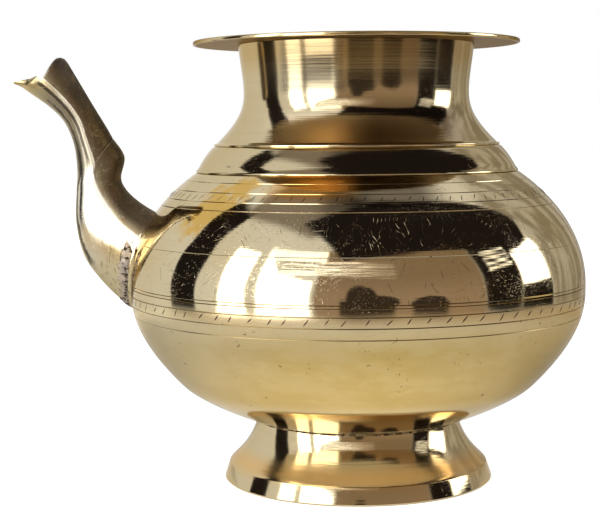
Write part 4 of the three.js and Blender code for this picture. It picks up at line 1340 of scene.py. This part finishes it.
class POT_OT_studio(bpy.types.Operator):
    """Set the camera, the floor, the lamps and the dome of cards that the metal mirrors"""

    bl_idname = "pot.studio"
    bl_label = "Studio"

    def execute(self, context):
        settings = context.scene.pot_studio
        self.camera(context, settings)
        self.surroundings(context, settings)
        self.floor(settings)
        self.cards(settings)
        self.lamp("key_lamp", (-1.2, -1.3, 1.5), 1.2, settings.lamp_power)
        self.lamp("fill_lamp", (1.5, -0.8, 1.2), 1.4, settings.lamp_power * 0.5)
        context.scene.view_settings.view_transform = "Standard"
        return {"FINISHED"}

    def camera(self, context, settings):
        data = bpy.data.cameras.new("photo_camera")
        data.lens = settings.lens
        data.sensor_width = 36
        data.clip_start, data.clip_end = 0.01, 50
        camera = scene_object("photo_camera", data)
        tilt = Matrix.Rotation(math.pi / 2 - settings.camera_pitch, 4, "X")
        roll = Matrix.Rotation(settings.camera_roll, 4, "Z")
        camera.matrix_world = Matrix.Translation(settings.camera_place) @ tilt @ roll
        context.scene.camera = camera

    def surroundings(self, context, settings):
        """Plain white where it is seen or mirrored, and dimmer as a light."""
        world = bpy.data.worlds.new("plain_room")
        context.scene.world = world
        n = nodes_of(world)
        path = n.add("ShaderNodeLightPath", None, None, "Is Camera Ray")
        seen = any_of(path, path.output("Is Glossy Ray"), path.output("Is Transmission Ray"))
        strength = settings.room_light + seen * (1.0 - settings.room_light)
        light = n.add("ShaderNodeBackground", None, {"Color": WHITE, "Strength": strength})
        n.end("ShaderNodeOutputWorld", light)

    def floor(self, settings):
        """Pale and matt; the metal mirrors it as a table, past whose edge it sees the cards."""
        material = bpy.data.materials.new("plain_floor")
        n = nodes_of(material)
        radius = n.around()[4]
        path = n.add("ShaderNodeLightPath", None, None, "Is Camera Ray")
        mirrored = path.output("Is Glossy Ray")
        matt = n.add("ShaderNodeBsdfDiffuse", None, {"Color": tuple(settings.floor_colour)})
        strength = path * FLOOR_GLOW + mirrored * radius.fall(0.06, 0.14) * settings.table_glow
        glow = n.add("ShaderNodeEmission", None, {"Color": WHITE, "Strength": strength})
        both = n.add("ShaderNodeAddShader", None, {0: matt, 1: glow})
        outside = path.output("Is Shadow Ray") * (radius > settings.table_radius)
        past = (mirrored * radius.step(0.22, settings.table_radius)).most(outside)
        clear = n.add("ShaderNodeBsdfTransparent")
        n.end("ShaderNodeOutputMaterial", n.add("ShaderNodeMixShader", None, {0: past, 1: both, 2: clear}))
        corners = [(x * FLOOR_REACH, y * FLOOR_REACH, 0) for x, y in ((-1, -1), (1, -1), (1, 1), (-1, 1))]
        mesh_object("floor", corners, [(0, 1, 2, 3)], material)

    def lamp(self, name, place, size, power):
        data = bpy.data.lights.new(name, "AREA")
        data.shape = "SQUARE"
        data.size = size
        data.energy = power
        lamp = scene_object(name, data)
        way = LAMP_TARGET - Vector(place)
        lamp.matrix_world = Matrix.Translation(place) @ way.to_track_quat("-Z", "Y").to_matrix().to_4x4()
        lamp.visible_glossy = False

    def cards(self, settings):
        """The cards that only mirrors show, placed in degrees round the pot and over EYE_HEIGHT."""
        material = bpy.data.materials.new("room_cards")
        n = nodes_of(material)
        vector, x, y, z, radius = n.around()
        azimuth = x.degrees_over(0.0 - y)
        rise = z - EYE_HEIGHT
        lift = rise.degrees_over(radius)
        waver = n.cloud(vector, 2.2, 2.0, 0.6) - 0.5
        overhead = rise > 0.02
        above = rise.most(0.02)
        u, v = x / above, (0.0 - y) / above
        c, s = math.cos(CEILING_TURN), math.sin(CEILING_TURN)
        across, along = u * c - v * s, u * s + v * c

        def patch(low, high, bottom, top, soft=0.8, rounding=0.0):
            return azimuth.band(low, high, soft) * (lift + waver * rounding).band(bottom, top, soft)

        def oval(side, up, wide, high):
            a, b = (azimuth - side) / wide, (lift + waver * 4.0 - up) / high
            return (a * a + b * b).fall(0.85, 1.1)

        high = (lift - 28.0).most(0.0)
        strip = (azimuth + 105.5 + high * 0.5).step(-0.8, 0.8) * lift.band(-11.0, 56.0, 4.0)
        strip = strip * (azimuth + 86.0 + high * 0.22).fall(-0.8, 0.8)
        right_dark = azimuth.band(61.5, 84.0, 0.8) * lift.band(-9.5, 40.0, 2.0)
        near = 0.134 + (across - 1.35).most(0.0) * 0.5
        ceiling = (along - near).step(-0.02, 0.02) * along.step(1.2, 1.12)
        ceiling = ceiling * (across + along * 0.3).step(-0.52, -0.44) * overhead
        dim = across.band(-0.71, 0.06, 0.1) * along.band(-0.46, 0.42, 0.08) * overhead * 0.95
        car = any_of(
            patch(-10.5, 15.5, -14.0, 1.2, 0.8, 4.0), oval(-0.5, 2.0, 7.5, 12.5), oval(6.5, -1.0, 11.0, 8.5),
        )
        seats = any_of(car, oval(33.0, -4.0, 10.5, 7.0), patch(24.0, 42.0, -14.0, -1.5, 0.8, 3.0))
        seats = seats * lift.step(-10.5, -8.0, 0.45, 1.0) * 0.92
        torn = (lift * 2.3 + waver * 4.0 + azimuth * 0.03).sine()
        streak = patch(-42.0, 16.0, 22.0, 34.0, 1.0, 3.0) * azimuth.step(-20.0, 16.0, 1.0, 0.25)
        dark = any_of(
            strip, right_dark, patch(84.0, 108.0, -9.5, 4.4), ceiling, seats,
            streak * torn.step(-0.1, -0.4) * 0.9,
        )
        slats = ((lift * 1.7).sine() > 0.3) * patch(66.5, 82.0, 18.0, 33.0, 0.5, 1.0)
        right_top = 22.0 - (azimuth + 40.0) * 0.33 - (azimuth + 42.0).least(0.0) * 1.5
        right_pane = azimuth.band(-52.0, -23.5, 0.6) * (lift > -10.8)
        pane = any_of(
            patch(-72.5, -57.0, -10.8, 37.0, 0.6, 3.0),
            right_pane * (lift + waver * 2.0 - right_top).fall(-1.0, 2.0),
            azimuth.band(84.5, 107.0, 0.7) * lift.band(4.5, 26.0, 0.8),
            slats * 0.6,
            patch(-53.0, -18.0, 33.5, 42.0, 1.0, 5.0) * 0.6,
            streak * torn.step(0.1, 0.6) * 0.8,
        )
        hall = azimuth.band(-22.0, 62.0, 1.5) * lift.band(-45.0, 44.0, 1.0)
        left = azimuth.fall(-110.0, -84.0)
        ground = lift.fall(-11.0, -9.5)
        beyond = azimuth.band(107.5, 170.0, 3.0) * lift.band(-11.0, 52.0, 5.0)
        curtain = n.cloud(n.stretch(vector, (5.0, 5.0, 0.3)))
        dim_tone = n.mix((across + along * 0.8).step(-0.36, -0.14), (0.26, 0.215, 0.19), (0.06, 0.045, 0.04))
        colour = n.layered(WHITE, [
            (beyond * curtain.step(0.35, 0.6, 0.45, 0.95), (0.36, 0.32, 0.27)),
            (hall, n.mix(lift.step(0.0, 24.0), (0.46, 0.34, 0.25), (0.34, 0.25, 0.17))),
            (dim, dim_tone),
            (ground, n.mix(left, (0.72, 0.58, 0.39), (1.0, 0.97, 0.92))),
            (dark, (0.018, 0.014, 0.014)),
            (pane, WHITE),
        ])
        strength = 1.0 + pane.most(ground * left * 0.08) * (settings.window_strength - 1.0)
        clear = n.add("ShaderNodeBsdfTransparent")
        glow = n.add("ShaderNodeEmission", None, {"Color": colour, "Strength": strength})
        share = any_of(dark, pane, hall, ground, beyond, dim)
        n.end("ShaderNodeOutputMaterial", n.add("ShaderNodeMixShader", None, {0: share, 1: clear, 2: glow}))
        self.dome(material)

    def dome(self, material):
        mesh = bpy.data.meshes.new("room_cards")
        bm = bmesh.new()
        bmesh.ops.create_uvsphere(bm, u_segments=96, v_segments=48, radius=DOME_RADIUS)
        bmesh.ops.reverse_faces(bm, faces=bm.faces)
        bm.to_mesh(mesh)
        bm.free()
        mesh.materials.append(material)
        card = scene_object("room_cards", mesh)
        card.visible_camera = card.visible_diffuse = card.visible_shadow = False
        card.visible_transmission = card.visible_volume_scatter = False


class POT_PT_panel(bpy.types.Panel):
    """The steps that build the pot"""

    bl_label = "Water pot"
    bl_idname = "POT_PT_panel"
    bl_space_type = "VIEW_3D"
    bl_region_type = "UI"
    bl_category = "Water pot"

    def draw(self, context):
        for step in STEPS:
            self.layout.operator(step.bl_idname)
        for group in (context.scene.pot_sizes, context.scene.pot_finish, context.scene.pot_studio):
            box = self.layout.box()
            for name in group.__annotations__:
                box.prop(group, name)


STEPS = (
    POT_OT_studio, POT_OT_rim, POT_OT_neck, POT_OT_belly, POT_OT_foot, POT_OT_spout, POT_OT_solder,
    POT_OT_engraving,
)
GROUPS = {"pot_sizes": PotSizes, "pot_finish": PotFinish, "pot_studio": StudioSettings}
CLASSES = (*GROUPS.values(), *STEPS, POT_PT_panel)


def register():
    for cls in CLASSES:
        bpy.utils.register_class(cls)
    for name, group in GROUPS.items():
        setattr(bpy.types.Scene, name, PointerProperty(type=group))


def unregister():
    for name in GROUPS:
        delattr(bpy.types.Scene, name)
    for cls in reversed(CLASSES):
        bpy.utils.unregister_class(cls)


def main():
    register()
    sizes = bpy.context.scene.pot_sizes
    BELLY_LINE.extend([*bowl_line(sizes), *shoulder_line(sizes)[1:]])
    for step in STEPS:
        group, name = step.bl_idname.split(".")
        getattr(getattr(bpy.ops, group), name)()
    bpy.context.view_layer.update()


if __name__ == "__main__":
    main()
